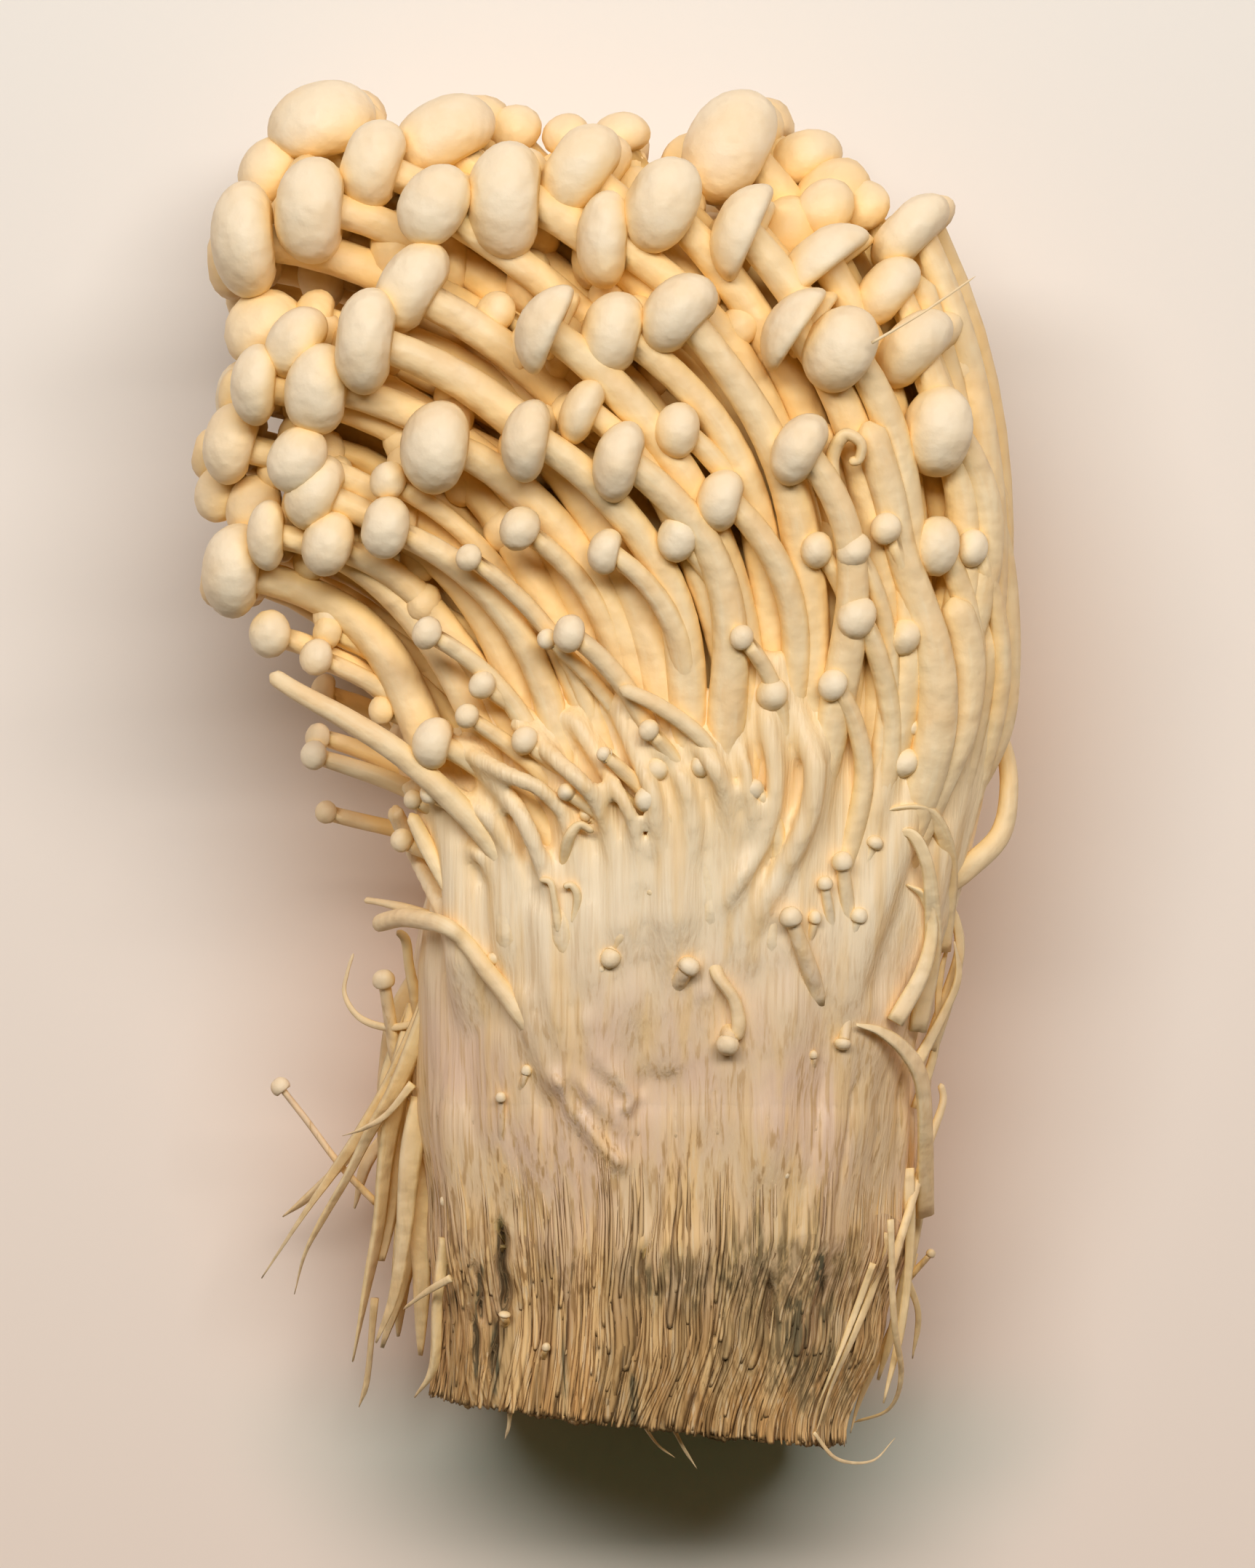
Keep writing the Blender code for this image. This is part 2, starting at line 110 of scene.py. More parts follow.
def rib_layout(low, high, seed):
    """Rib edges round the girth, and each rib's height and phase."""
    draw = np.random.default_rng(seed)
    edges = np.concatenate(([0.0], np.cumsum(draw.uniform(low, high, int(GIRTH / low)))))
    edges = edges[edges < GIRTH + high / 2]
    return edges * GIRTH / edges[-1], draw.uniform(0.3, 1.0, len(edges)), draw.uniform(0, 6.3, len(edges))


FUSED_STEMS = rib_layout(2.2, 6.0, 5)
FINE_FIBRES = rib_layout(0.5, 1.3, 9)


def ribs(layout, turn, y):
    """Rounded ribs with a crease between each two, from 0 in the crease to 1 on the rib."""
    edges, height, phase = layout
    wander = 1.1 * np.sin(0.085 * y + 3 * turn) + 0.6 * np.sin(0.21 * y + 7 * turn + 1)
    s = np.mod((turn + math.pi / 2) / (2 * math.pi) * GIRTH + wander, GIRTH)
    k = np.clip(np.searchsorted(edges, s) - 1, 0, len(edges) - 2)
    across = (s - (edges[k] + edges[k + 1]) / 2) / ((edges[k + 1] - edges[k]) / 2)
    size = height[k] * (0.75 + 0.25 * np.sin(0.16 * y + phase[k]))
    size = size * np.minimum(edges[k + 1] - edges[k], 3.0) / 3.0
    return size * np.sqrt(np.maximum(0, 1 - across * across))


def smooth_step(low, high, value):
    """0 to 1, eased, as the value goes from low to high."""
    t = np.clip((value - low) / (high - low), 0, 1)
    return t * t * (3 - 2 * t)


def crack_depth(x, y):
    """How deep the splits in the skin are there."""
    depth = 0 * x
    for x_top, x_low, y_top, y_low, half, deep in CRACKS:
        middle = x_top + (x_low - x_top) * np.clip((y_top - y) / (y_top - y_low), 0, 1)
        middle = middle + 0.25 * np.sin(1.3 * y)
        window = smooth_step(y_low - 1, y_low + 1.5, y) * smooth_step(y_top + 1, y_top - 1.5, y)
        depth = depth + window * deep * np.exp(-(((x - middle) / half) ** 2))
    return depth


def fold_height(x, y):
    """How far the folds lift the skin there."""
    lift = 0 * x
    for height, half, way in FOLDS:
        nearest = np.inf + 0 * x
        for (ax, ay), (bx, by) in zip(way, way[1:]):
            long, tall = bx - ax, by - ay
            t = np.clip(((x - ax) * long + (y - ay) * tall) / (long**2 + tall**2), 0, 1)
            nearest = np.minimum(nearest, (x - ax - t * long) ** 2 + (y - ay - t * tall) ** 2)
        fade = smooth_step(way[-1][1] - 1, way[-1][1] + 5, y) if abs(way[0][1] - way[-1][1]) > 10 else 1.0
        lift = lift + height * fade * np.exp(-nearest / half**2)
    return lift


def skin_point(turn, y, inset=0.0):
    """Points of the body's skin, in millimetres: turn is the angle round it, inset the depth below it."""
    left, right, front = section(y)
    low_down = smooth_step(-30, -50, y)
    bulge = 0.5 * np.sin(5 * turn + 0.11 * y) + 0.4 * np.sin(9 * turn - 0.07 * y + 1)
    bulge = bulge + (RIB_HEIGHT - RIB_LOSS * low_down) * ribs(FUSED_STEMS, turn, y) - 0.3
    fibrous = FIBRE_HEIGHT * smooth_step(-24, -36, y) + FIBRE_GAIN * low_down
    bulge = bulge + fibrous * ribs(FINE_FIBRES, turn, y)
    c, s = np.cos(turn), np.sin(turn)
    reach = bulge - inset
    x = (left + right) / 2 + ((right - left) / 2 + reach) * np.sign(c) * np.abs(c) ** ROUNDNESS
    reach = reach - (s > 0) * (crack_depth(x, y) - fold_height(x, y))
    z = front / 2 + (front / 2 + reach) * np.sign(s) * np.abs(s) ** ROUNDNESS
    return np.stack((x, y + 0 * x, np.maximum(z, LEAST_HEIGHT)), -1)


def skin_height(x, y):
    """Height of the body's front at x and y."""
    left, right, front = (float(v) for v in section(y))
    c = min(abs(x - (left + right) / 2) / ((right - left) / 2), 1.0) ** (1 / ROUNDNESS)
    return front / 2 * (1 + (1 - c * c) ** (ROUNDNESS / 2))


def mesh_piece(name, points, faces, uvs=None, growth=None):
    """A smooth-shaded piece from points in millimetres of the plan."""
    mesh = bpy.data.meshes.new(name)
    mesh.from_pydata(((np.asarray(points) - PLAN_ZERO) * MM).tolist(), [], faces)
    if uvs is not None:
        mesh.uv_layers.new(name="grown").data.foreach_set("uv", np.asarray(uvs, np.float32).ravel())
    if growth is not None:
        tint = mesh.attributes.new("growth", "FLOAT_COLOR", "POINT")
        tint.data.foreach_set("color", np.asarray(growth, np.float32).ravel())
    mesh.validate()
    mesh.shade_smooth()
    obj = bpy.data.objects.new(name, mesh)
    bpy.context.scene.collection.objects.link(obj)
    return obj


def closed_loft(name, rings):
    """A closed body through an array of rings, filled at both ends from the middle."""
    count, sides, _ = rings.shape
    points = np.concatenate((rings.reshape(-1, 3), rings[0].mean(0)[None], rings[-1].mean(0)[None]))
    faces = []
    for i in range(count - 1):
        for j in range(sides):
            k = (j + 1) % sides
            faces.append((i * sides + k, i * sides + j, (i + 1) * sides + j, (i + 1) * sides + k))
    first, last, end = count * sides, count * sides + 1, (count - 1) * sides
    for j in range(sides):
        k = (j + 1) % sides
        faces.append((first, j, k))
        faces.append((last, end + k, end + j))
    return mesh_piece(name, points, faces)


def turns(count):
    """Angles round the body from the underside, closer together on the front than on the underside."""
    t = np.arange(count) / count
    return -math.pi / 2 + 2 * math.pi * (t - FRONT_CROWDING * np.sin(4 * math.pi * t) / 2)


def seam(turn):
    """Y at which the collar's skin meets the butt's."""
    return SEAM_Y + 1.6 * np.sin(3 * turn) + 0.9 * np.sin(11 * turn + 2)


around = turns(COLLAR_SIDES)
tucked = ((3.0, 4.0), (2.2, 0.8), (1.0, 0.1))  # its lower edge runs in under the butt: down, inset
rings = [skin_point(around, seam(around) - down, inset) for down, inset in tucked]
for share in np.linspace(0, 1, COLLAR_RINGS):
    y = seam(around) + (COLLAR_TOP - seam(around)) * share
    inset = np.interp(y, (-34, -31, -27, -23, COLLAR_TOP), (0, 0.12, 0.9, 2.5, 8.0))
    rings.append(skin_point(around, y, inset))
collar = closed_loft("collar", np.array(rings))


def wire(tree, kind, inputs=(), **settings):
    """A shader node; each input is a value or another node's output."""
    made = tree.nodes.new(kind)
    for key, value in settings.items():
        setattr(made, key, value)
    for key, value in dict(inputs).items():
        if isinstance(value, bpy.types.NodeSocket):
            tree.links.new(value, made.inputs[key])
        else:
            made.inputs[key].default_value = value
    return made


def mixed(tree, share, first, second):
    """The first colour where share is 0, the second where it is 1."""
    return wire(tree, "ShaderNodeMix", {0: share, 6: first, 7: second}, data_type="RGBA").outputs[2]


def maths(tree, operation, *values, clamp=False):
    """A sum on shader values."""
    inputs = dict(enumerate(values))
    return wire(tree, "ShaderNodeMath", inputs, operation=operation, use_clamp=clamp).outputs[0]


def vectors(tree, operation, *values):
    """The outputs of a sum on shader vectors."""
    return wire(tree, "ShaderNodeVectorMath", dict(enumerate(values)), operation=operation).outputs


def grained(tree, place, scale, detail):
    """Noise of that many features a metre."""
    return wire(tree, "ShaderNodeTexNoise", {"Vector": place, "Scale": scale, "Detail": detail}).outputs[0]


def place_in(tree):
    """Where a point lies in the bunch, in metres."""
    return wire(tree, "ShaderNodeTexCoord").outputs["Object"]


def y_in(tree):
    """Where a point lies along the bunch, in metres."""
    return wire(tree, "ShaderNodeSeparateXYZ", {0: place_in(tree)}).outputs["Y"]


def ranged(tree, value, low, high, to_low=0.0, to_high=1.0, smooth=True):
    """0 to 1, or to_low to to_high, as the value goes from low to high."""
    inputs = {0: value, 1: low, 2: high, 3: to_low, 4: to_high}
    kind = "SMOOTHSTEP" if smooth else "LINEAR"
    return wire(tree, "ShaderNodeMapRange", inputs, interpolation_type=kind).outputs[0]


def stretched_noise(tree, across, along):
    """Noise drawn out along Y: across and along are features a metre."""
    return grained(tree, vectors(tree, "MULTIPLY", place_in(tree), (across, along, across))[0], 1.0, 3.0)


def patch(tree, x, y, half_x, half_y, wobble):
    """1 inside a soft-edged patch of that size on the front, 0 outside it; it places the stains and the
    painted crack shade.
    """
    middle = ((x - PLAN_ZERO[0]) * MM, (y - PLAN_ZERO[1]) * MM, FRONT_HEIGHT)
    moved = vectors(tree, "SUBTRACT", place_in(tree), middle)[0]
    grown = vectors(tree, "MULTIPLY", moved, (1 / half_x / MM, 1 / half_y / MM, 40.0))[0]
    away = maths(tree, "ADD", vectors(tree, "LENGTH", grown)["Value"], wobble)
    return ranged(tree, away, 1.9, 0.7)


def paint_crease_light(tree, colour, painted_crease_colour, reach, most):
    """The colour, turned towards the painted crease colour where other surfaces stand close round it: painted
    glow and shade in creases and gaps.
    """
    open_air = wire(tree, "ShaderNodeAmbientOcclusion", {"Distance": reach}, samples=1).outputs["AO"]
    return mixed(tree, ranged(tree, open_air, *OPEN_AND_SHUT, 0, most, smooth=False), colour, painted_crease_colour)


def plain_material(name, roughness):
    """A new material, its node tree and its shader."""
    made = bpy.data.materials.new(name)
    made.use_nodes = True
    shader = made.node_tree.nodes["Principled BSDF"]
    shader.inputs["Roughness"].default_value = roughness
    return made, made.node_tree, shader


def soak(shader, weight, depth):
    """Lets light into the flesh: how much of it, and how many metres deep."""
    shader.inputs["Subsurface Weight"].default_value = weight
    shader.inputs["Subsurface Radius"].default_value = (1.0, 0.9, 0.8)
    shader.inputs["Subsurface Scale"].default_value = depth


FRONT_HEIGHT = 0.036  # of the butt's front, in metres, where the stains and the painted crack shade lie
OPEN_AND_SHUT = 0.88, 0.25  # the share of open air round a point that leaves its colour alone, or turns it fully to the painted crease colour
STAINS_AND_CRACK_SHADE = (  # on the front: x, y, half its width, half its height, depth. The narrow near-black ones along the cracks are painted shade in those splits
    (18.2, -52.5, 4.4, 5.6, 0.34), (18.5, -54.8, 0.9, 2, 0.5), (7.4, -51, 2.4, 2, 0.42),
    (-11.4, -55.5, 1.3, 3.5, 0.15), (2.5, -50, 1.4, 1.8, 0.3), (14.5, -48.5, 1.8, 2.4, 0.3),
    (21, -59, 2.4, 4.4, 0.45), (14.5, -57.5, 3.4, 4.6, 0.15), (-10.8, -50, 0.32, 3.6, 1),
    (-13, -52.5, 0.22, 2.4, 0.9), (-13.5, -57, 0.22, 2.4, 0.9), (-11.6, -58.5, 0.26, 2.4, 0.9),
    (21.2, -50.5, 0.4, 2, 0.9), (-4.5, -60, 0.3, 2.2, 0.7), (2.4, -62.5, 0.3, 2.2, 0.7),
)


def body_colour(tree, dark, stains_and_crack_shade=()):
    """Cream and greyish pink at the top, tan at the cut end. dark is 0 on pale fibres and 1 between them."""
    y = y_in(tree)
    streaks = stretched_noise(tree, 520, 36)
    hair = stretched_noise(tree, 2100, 80)
    clouds = stretched_noise(tree, 110, 70)
    cream = mixed(tree, ranged(tree, clouds, 0.38, 0.66), (0.76, 0.555, 0.35, 1), (0.75, 0.525, 0.375, 1))
    cream = mixed(tree, ranged(tree, y, -0.032, -0.010), cream, (0.90, 0.74, 0.53, 1))
    cream = mixed(tree, ranged(tree, y, -0.016, 0.002), cream, (0.89, 0.68, 0.42, 1))
    cream = mixed(tree, ranged(tree, streaks, 0.48, 0.72, 0, 0.6), cream, (0.80, 0.53, 0.24, 1))
    low = ranged(tree, y, -0.012, -0.040, 0.15, 0.8)
    fine = maths(tree, "MULTIPLY", ranged(tree, hair, 0.52, 0.66), low)
    cream = mixed(tree, fine, cream, (0.56, 0.34, 0.15, 1))
    tan = mixed(tree, ranged(tree, streaks, 0.42, 0.62), (0.93, 0.60, 0.27, 1), (0.72, 0.39, 0.135, 1))
    tan = mixed(tree, ranged(tree, hair, 0.50, 0.64), tan, (0.45, 0.24, 0.08, 1))
    tan = mixed(tree, ranged(tree, hair, 0.45, 0.34, 0, 0.7), tan, (0.92, 0.70, 0.43, 1))
    tan = mixed(tree, dark, tan, (0.27, 0.15, 0.05, 1))
    reach = maths(tree, "MULTIPLY_ADD", maths(tree, "SUBTRACT", streaks, 0.5), 0.06, y)
    colour = mixed(tree, ranged(tree, reach, -0.036, -0.058), cream, tan)
    wobble = ranged(tree, streaks, 0.3, 0.7, -0.7, 0.7)
    # Stains, and painted shade down the cracks, in near-black brown.
    for x, at_y, half_x, half_y, depth in stains_and_crack_shade:
        uneven = ranged(tree, hair, 0.40, 0.56, 0.3 * depth, 1.3 * depth)
        stain_and_crack_shade = maths(tree, "MULTIPLY", patch(tree, x, at_y, half_x, half_y, wobble), uneven, clamp=True)
        colour = mixed(tree, stain_and_crack_shade, colour, (0.12, 0.10, 0.05, 1))
    return colour, hair, streaks


def body_material(name, roughness, subsurface, relief, dark, painted_crease_colour, reach, most):
    """Skin or fibre of the body. relief is its roughness in metres; the last three say what colour its
    creases are painted, as glow on flesh and shade on the butt, how near the other side of one has to be, and
    how far it goes."""
    made, tree, shader = plain_material(name, roughness)
    if dark is None:  # each fibre has its own shade
        growth = wire(tree, "ShaderNodeAttribute", attribute_name="growth")
        dark = wire(tree, "ShaderNodeSeparateColor", {0: growth.outputs["Color"]}).outputs[0]
    colour, hair, streaks = body_colour(tree, dark, STAINS_AND_CRACK_SHADE)
    colour = paint_crease_light(tree, colour, painted_crease_colour, reach, most)
    tree.links.new(colour, shader.inputs["Base Color"])
    soak(shader, subsurface, 0.001)
    height = maths(tree, "MULTIPLY_ADD", hair, 0.6, streaks)
    bump = wire(tree, "ShaderNodeBump", {"Height": height, "Strength": 0.5, "Distance": relief})
    tree.links.new(bump.outputs[0], shader.inputs["Normal"])
    return made


# Painted glow: flesh is painted amber where other flesh stands close, for the light that would soak through.
PAINTED_GLOW, PAINTED_GLOW_REACH = (0.97, 0.67, 0.24, 1), 0.006
collar_flesh = body_material("collar_flesh", 0.5, 0.12, 0.0005, 0.1, PAINTED_GLOW, PAINTED_GLOW_REACH, 0.6)
collar.data.materials.append(collar_flesh)
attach(collar, "root")
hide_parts("mushrooms")

# ---------------------------------------------------------------------- Butt
# The brown end, dried and stained where it grew on the bottle's sawdust. It is the same stems,
# shrunk to coarse fibres, and a knife has cut it off a little askew, which left its edge frayed.

CUT_Y, CUT_SLOPE = -65.6, -0.115
CUT_RINGS = ((14.0, 0.5), (8.0, 0.8), (4.0, 0.9), (1.8, 0.8), (0.6, 0.5))  # on the cut face: inset, roughness
BUTT_RINGS = 46
FIBRES, FIBRE_STEPS, FIBRE_SIDES = 1350, 11, 4
rings = []
fray_draw = np.random.default_rng(3)
fray = fray_draw.uniform(-0.15, 0.15, len(around)) + 0.25 * np.sin(9 * around) + 0.2 * np.sin(23 * around + 1)


def cut_edge(x):
    """Y of the slanted cut."""
    return CUT_Y + CUT_SLOPE * x


for inset, rough in CUT_RINGS:
    plain = skin_point(around, -65.0 + 0 * around, inset)
    pits = np.array([noise.noise(Vector((p[0] * 0.6, 3.1, p[2] * 0.6))) for p in plain])
    plain[:, 1] = cut_edge(plain[:, 0]) + 1.1 + rough * pits
    rings.append(plain)
for share in np.linspace(0, 1, BUTT_RINGS):
    base = skin_point(around, -65.0 + 0 * around)
    low = cut_edge(base[:, 0]) + fray
    y = low + (seam(around) - low) * share
    rings.append(skin_point(around, y, 0.25 * (1 - smooth_step(0, 0.08, share))))
rings += [skin_point(around, seam(around) + up, inset) for up, inset in ((1.0, 0.15), (2.2, 1.0), (3.0, 5.0))]
butt = closed_loft("butt_end", np.array(rings))
# Painted shade: the butt's creases and the gaps between its fibres are darkened to this brown.
PAINTED_CREASE_SHADE = (0.24, 0.13, 0.05, 1)
butt.data.materials.append(body_material("butt_skin", 0.85, 0.0, 0.0008, 0.35, PAINTED_CREASE_SHADE, 0.002, 0.6))


class Growth:
    """Gathers the stems, caps and fibres of one piece."""

    def __init__(self):
        self.points, self.faces, self.uvs, self.tints, self.count = [], [], [], [], 0

    def add(self, rings, tints):
        """rings: (n, sides, 3); tints: (n, 4). Each end closes on its middle."""
        count, sides, _ = rings.shape
        start = self.count
        self.points += [rings.reshape(-1, 3), rings[0].mean(0)[None], rings[-1].mean(0)[None]]
        self.tints += [np.repeat(tints, sides, axis=0), tints[:1], tints[-1:]]
        steps = np.linalg.norm(np.diff(rings.mean(1), axis=0), axis=1)
        along = np.concatenate(([0.0], np.cumsum(steps)))
        for i in range(count - 1):
            for j in range(sides):
                k = (j + 1) % sides
                a, b = start + i * sides, start + (i + 1) * sides
                self.faces.append((a + j, a + k, b + k, b + j))
                u, w = j / sides, (j + 1) / sides
                self.uvs += [(u, along[i]), (w, along[i]), (w, along[i + 1]), (u, along[i + 1])]
        first, last, end = start + count * sides, start + count * sides + 1, start + (count - 1) * sides
        for j in range(sides):
            k = (j + 1) % sides
            self.faces += [(first, start + k, start + j), (last, end + j, end + k)]
            self.uvs += [(0.5, 0), (0.6, 0), (0.4, 0), (0.5, along[-1]), (0.4, along[-1]), (0.6, along[-1])]
        self.count += count * sides + 2

    def piece(self, name, painted_glow_depth=0.0):
        """The last argument is the depth in the bunch, in millimetres, at which the flesh is painted fully
        amber, as glow.
        """
        points, tints = np.concatenate(self.points), np.concatenate(self.tints)
        if painted_glow_depth:
            # Painted glow: flesh lying deeper under the bunch's front is tinted amber.
            left, right, front = section(points[:, 1])
            across = (points[:, 0] - (left + right) / 2) / ((right - left) / 2 + 3)
            skin = front / 2 * (1 + np.maximum(0, 1 - across**2) ** 0.45)
            deep = smooth_step(1.0, painted_glow_depth, skin - 1.5 - points[:, 2]) * (points[:, 2] > 0.35 * front)
            tints[:, 0] = np.maximum(tints[:, 0], deep * (1 - 0.5 * tints[:, 1]))
        return mesh_piece(name, points, self.faces, self.uvs, tints)


def combed(turn, y):
    """The angle by which the fibres are swept round the body there: wavy, and out to the left by the cut."""
    wave = 0.009 * np.sin(0.27 * y + 9 * turn) + 0.004 * np.sin(0.63 * y + 31 * turn + 1)
    to_left = 0.10 * np.exp(-(((turn - 2.5) / 0.3) ** 2))
    return smooth_step(-40, -50, y) * wave + to_left * smooth_step(-55, -66, y)


fibre_draw = np.random.default_rng(17)
turn = -math.pi / 2 + 2 * math.pi * (np.arange(FIBRES) + fibre_draw.uniform(-0.5, 0.5, FIBRES)) / FIBRES
share = np.linspace(0, 1, FIBRE_STEPS) ** 1.5
foot = cut_edge(skin_point(turn, -65.0 + 0 * turn)[:, 0]) - fibre_draw.uniform(-0.5, 0.15, FIBRES)
length = 5 + 23 * fibre_draw.uniform(0, 1, FIBRES) ** 1.3
start = foot + np.where(fibre_draw.uniform(0, 1, FIBRES) < 0.4, fibre_draw.uniform(0, 14, FIBRES), 0)
y = start[:, None] + np.minimum(length, -38 - start)[:, None] * share
lean = fibre_draw.normal(0, 0.012, FIBRES)
at = turn[:, None] + lean[:, None] * (share - 0.3)
at = at + combed(at, y)
middle = skin_point(at, y)
broad = fibre_draw.uniform(0, 1, FIBRES) < 0.3  # these are strips, flat on the skin
wide = fibre_draw.uniform(0.10, 0.30, FIBRES) * np.where(broad, 2.2, 1.0)
wide = wide[:, None] * (1 - 0.85 * share**2.2) * (0.6 + 0.4 * np.minimum(1, share * 9))
stand = fibre_draw.uniform(0.0, 0.24, FIBRES)[:, None] * (1 - 1.7 * share**3)
stand = stand + 0.35 * (fibre_draw.uniform(0, 1, FIBRES)[:, None] ** 4) * np.maximum(0, 1 - share * 4) ** 2
out = np.stack((np.cos(at), 0 * at, np.sin(at)), -1)
side = np.stack((-np.sin(at), 0 * at, np.cos(at)), -1)
round_it = 2 * math.pi * np.arange(FIBRE_SIDES) / FIBRE_SIDES
rings = (middle + out * stand[..., None])[:, :, None]
rings = rings - (wide[..., None] * np.cos(round_it))[..., None] * side[:, :, None]
thick = np.where(broad, 0.22, 0.6)[:, None, None] * wide[..., None]
rings = rings + (thick * np.sin(round_it))[..., None] * out[:, :, None]
rings[..., 2] = np.maximum(rings[..., 2], LEAST_HEIGHT)
open_skin = (crack_depth(middle[..., 0], middle[..., 1]) < 0.3) | (out[..., 2] < 0)
bundle = np.interp(turn, np.sort(fibre_draw.uniform(-1.6, 4.8, 150)), fibre_draw.uniform(0, 1, 150) ** 1.5)
fibres = Growth()
for k in range(FIBRES):
    if open_skin[k].all():
        shade = np.zeros((FIBRE_STEPS, 4))
        shade[:, 0] = 0.55 * bundle[k] + 0.4 * fibre_draw.uniform(0, 1) ** 2.5
        shade[0, 0] = 1.0  # darkest at the cut end
        fibres.add(rings[k], shade)
butt_fibres = fibres.piece("butt_fibres")
butt_fibres.data.materials.append(body_material("butt_fibre", 0.75, 0.0, 0.0003, None, PAINTED_CREASE_SHADE, 0.0015, 0.55))
for piece in (butt, butt_fibres):
    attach(piece, "root")
    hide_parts("butt")

# ---------------------------------------------------------------------- Mushrooms
# Each mushroom is one soft stem, round and smooth, with a small bun of a cap whose rim rolls in
# under it. They leave the collar side by side, sweep over to the left and lie over each other in
# tiers, the shortest in front. Their flesh lets a little light through; the amber glow in the gaps
# between them is painted into its colour.

ROOT_Y = -19.0
# Long stems leave the collar in the order of their caps: at this share of its width, with this change for
# each millimetre of the cap's X and Y.
LONG_ROOT = (0.34, 0.00694, 0.00758)
SWEEP, SWEEP_TURN = 134.9, 0.93  # the way a stem reaches its cap, in degrees, and how that turns with X
THIN_STEM, STEM_GAIN = 0.48, 0.118  # a stem's radius at its cap, and what each millimetre of cap adds
FOOT_SWELL = 0.56  # how much thicker a stem is at its foot
CAP_SHARE = 0.97  # of the width below, which its rim and lumps bring back to the whole
PAINTED_GLOW_DEPTH = 8.0  # how deep in the bunch the flesh is painted fully amber, as glow
# In front, in tiers: cap centre X and Y, its longer and shorter side as seen, and the way the
# longer side leans, in degrees from +X.
CROWN = (
    (-29.4, 66.4, 11.6, 8.2, 15), (-36.7, 53.4, 12.4, 7, 94), (-30, 56.9, 11.2, 7.6, 86),
    (-23.9, 61.1, 9.8, 6.8, 72), (-16.5, 64.6, 11.8, 7.6, 30), (-17.7, 56.5, 9.2, 7.2, 60),
    (-10.4, 57.5, 12.4, 8.1, 86), (-3.1, 60.4, 10.8, 7, 56), (-0.6, 52.9, 10.2, 5.4, 86),
    (4.8, 56.4, 10.4, 7.9, 62), (12, 63.3, 13, 8.8, 62), (12.8, 54, 10.8, 4.6, 66),
    (21.2, 51.7, 11.2, 4.4, 38), (30.3, 54.7, 10.2, 5.2, 46), (28, 48.7, 8.2, 5.2, 50),
)
UPPER = (
    (-20, 48.4, 10.4, 6.4, 58), (-24.3, 42.9, 11.2, 6.6, 82), (-31.5, 43.1, 8.2, 5.6, 58),
    (-35.5, 38.7, 8.8, 5, 86), (-29.1, 38.7, 9.8, 6.8, 84), (-6.7, 44.1, 9.8, 4.2, 66),
    (0.3, 43.7, 8.8, 6.4, 74), (6.8, 45.9, 9.5, 6.4, 46), (18, 44.7, 10.4, 3.6, 56),
    (22.9, 42.4, 9.5, 7.2, 60), (30.2, 42.4, 9.8, 5.8, 46), (32.8, 34.4, 9.6, 7.5, 80),
)
MIDDLE = (
    (-38.2, 33.1, 8.8, 5.6, 76), (-31.3, 31.6, 7.4, 6.2, 60), (-29.5, 28.1, 8.2, 5.4, 66),
    (-34.3, 23.8, 7.4, 4, 88), (-28.2, 22.9, 6.9, 5.4, 70), (-37.9, 20.1, 10, 6.4, 82),
    (-22.1, 29.1, 4.2, 3.8, 60), (-22.4, 24.3, 6.5, 5, 76), (-17.4, 32.7, 9.9, 7.1, 80),
    (-8.2, 33.1, 8.7, 4.9, 80), (-2.7, 36.2, 7.4, 4, 64), (0.9, 30.9, 8.6, 5, 74),
    (6.6, 34.1, 5.8, 4.8, 76), (18.7, 32, 8, 5, 60), (11, 27.1, 6.6, 4.6, 74),
)
FRINGE = (
    (-9, 24.4, 4.9, 4.2, 60), (-14, 21.4, 2.9, 2.6, 60), (6.7, 23.2, 5.1, 4.4, 70),
    (27.5, 24.5, 3.5, 3.1, 50), (20.6, 22.2, 3.9, 3.6, 70), (24.2, 22.2, 4, 3.5, 60),
    (32.5, 22.5, 6.3, 5.5, 80), (36.3, 22.5, 4.1, 3.8, 70), (-0.5, 21.9, 4.9, 3.3, 76),
    (-34.3, 13.9, 5, 4.3, 80), (-29.5, 11.6, 3.9, 3.5, 70), (-18.2, 14, 3.5, 3.1, 60),
    (-12.8, 8.8, 3.1, 2.9, 60), (-14.3, 5.7, 2.7, 2.5, 60), (-17.7, 3, 5.6, 4.1, 76),
    (-30, 1.8, 3.1, 2.8, 74), (-8.6, 3.2, 3.1, 2.7, 60), (-4.1, 13.8, 4, 3.2, 70), (-6.2, 13.4, 2.2, 2, 60),
    (24.6, 15.5, 4.7, 4.2, 60), (29.3, 13.7, 4, 3.5, 60), (13.1, 13.5, 2.7, 2.5, 60),
    (16.1, 7.8, 3.6, 3.2, 70), (22.2, 8.9, 3.4, 2.8, 60), (29.3, 1.1, 3.5, 3, 30), (3.8, 4.3, 2.3, 2.1, 60),
    (4.6, 0.4, 2.7, 2.5, 60), (3.8, -2.5, 3, 2.7, 45), (9.2, 0.9, 2.8, 2.6, 60), (14.3, -1.6, 2.4, 2.1, 60),
    (0, -1.3, 2.3, 2.1, 60), (-0.6, 1.9, 1.6, 1.4, 60), (-2.3, -4, 1.7, 1.5, 60),
    (-4.4, -1.8, 1.9, 1.7, 60), (-14.3, -7, 2.3, 2.1, 60), (-18, -2, 2.4, 2.2, 60),
    (-19.8, -2.6, 2.1, 1.9, 60), (-21, -6.8, 2.6, 2.4, 60), (30.2, 4.6, 1.8, 1.6, 60),
)
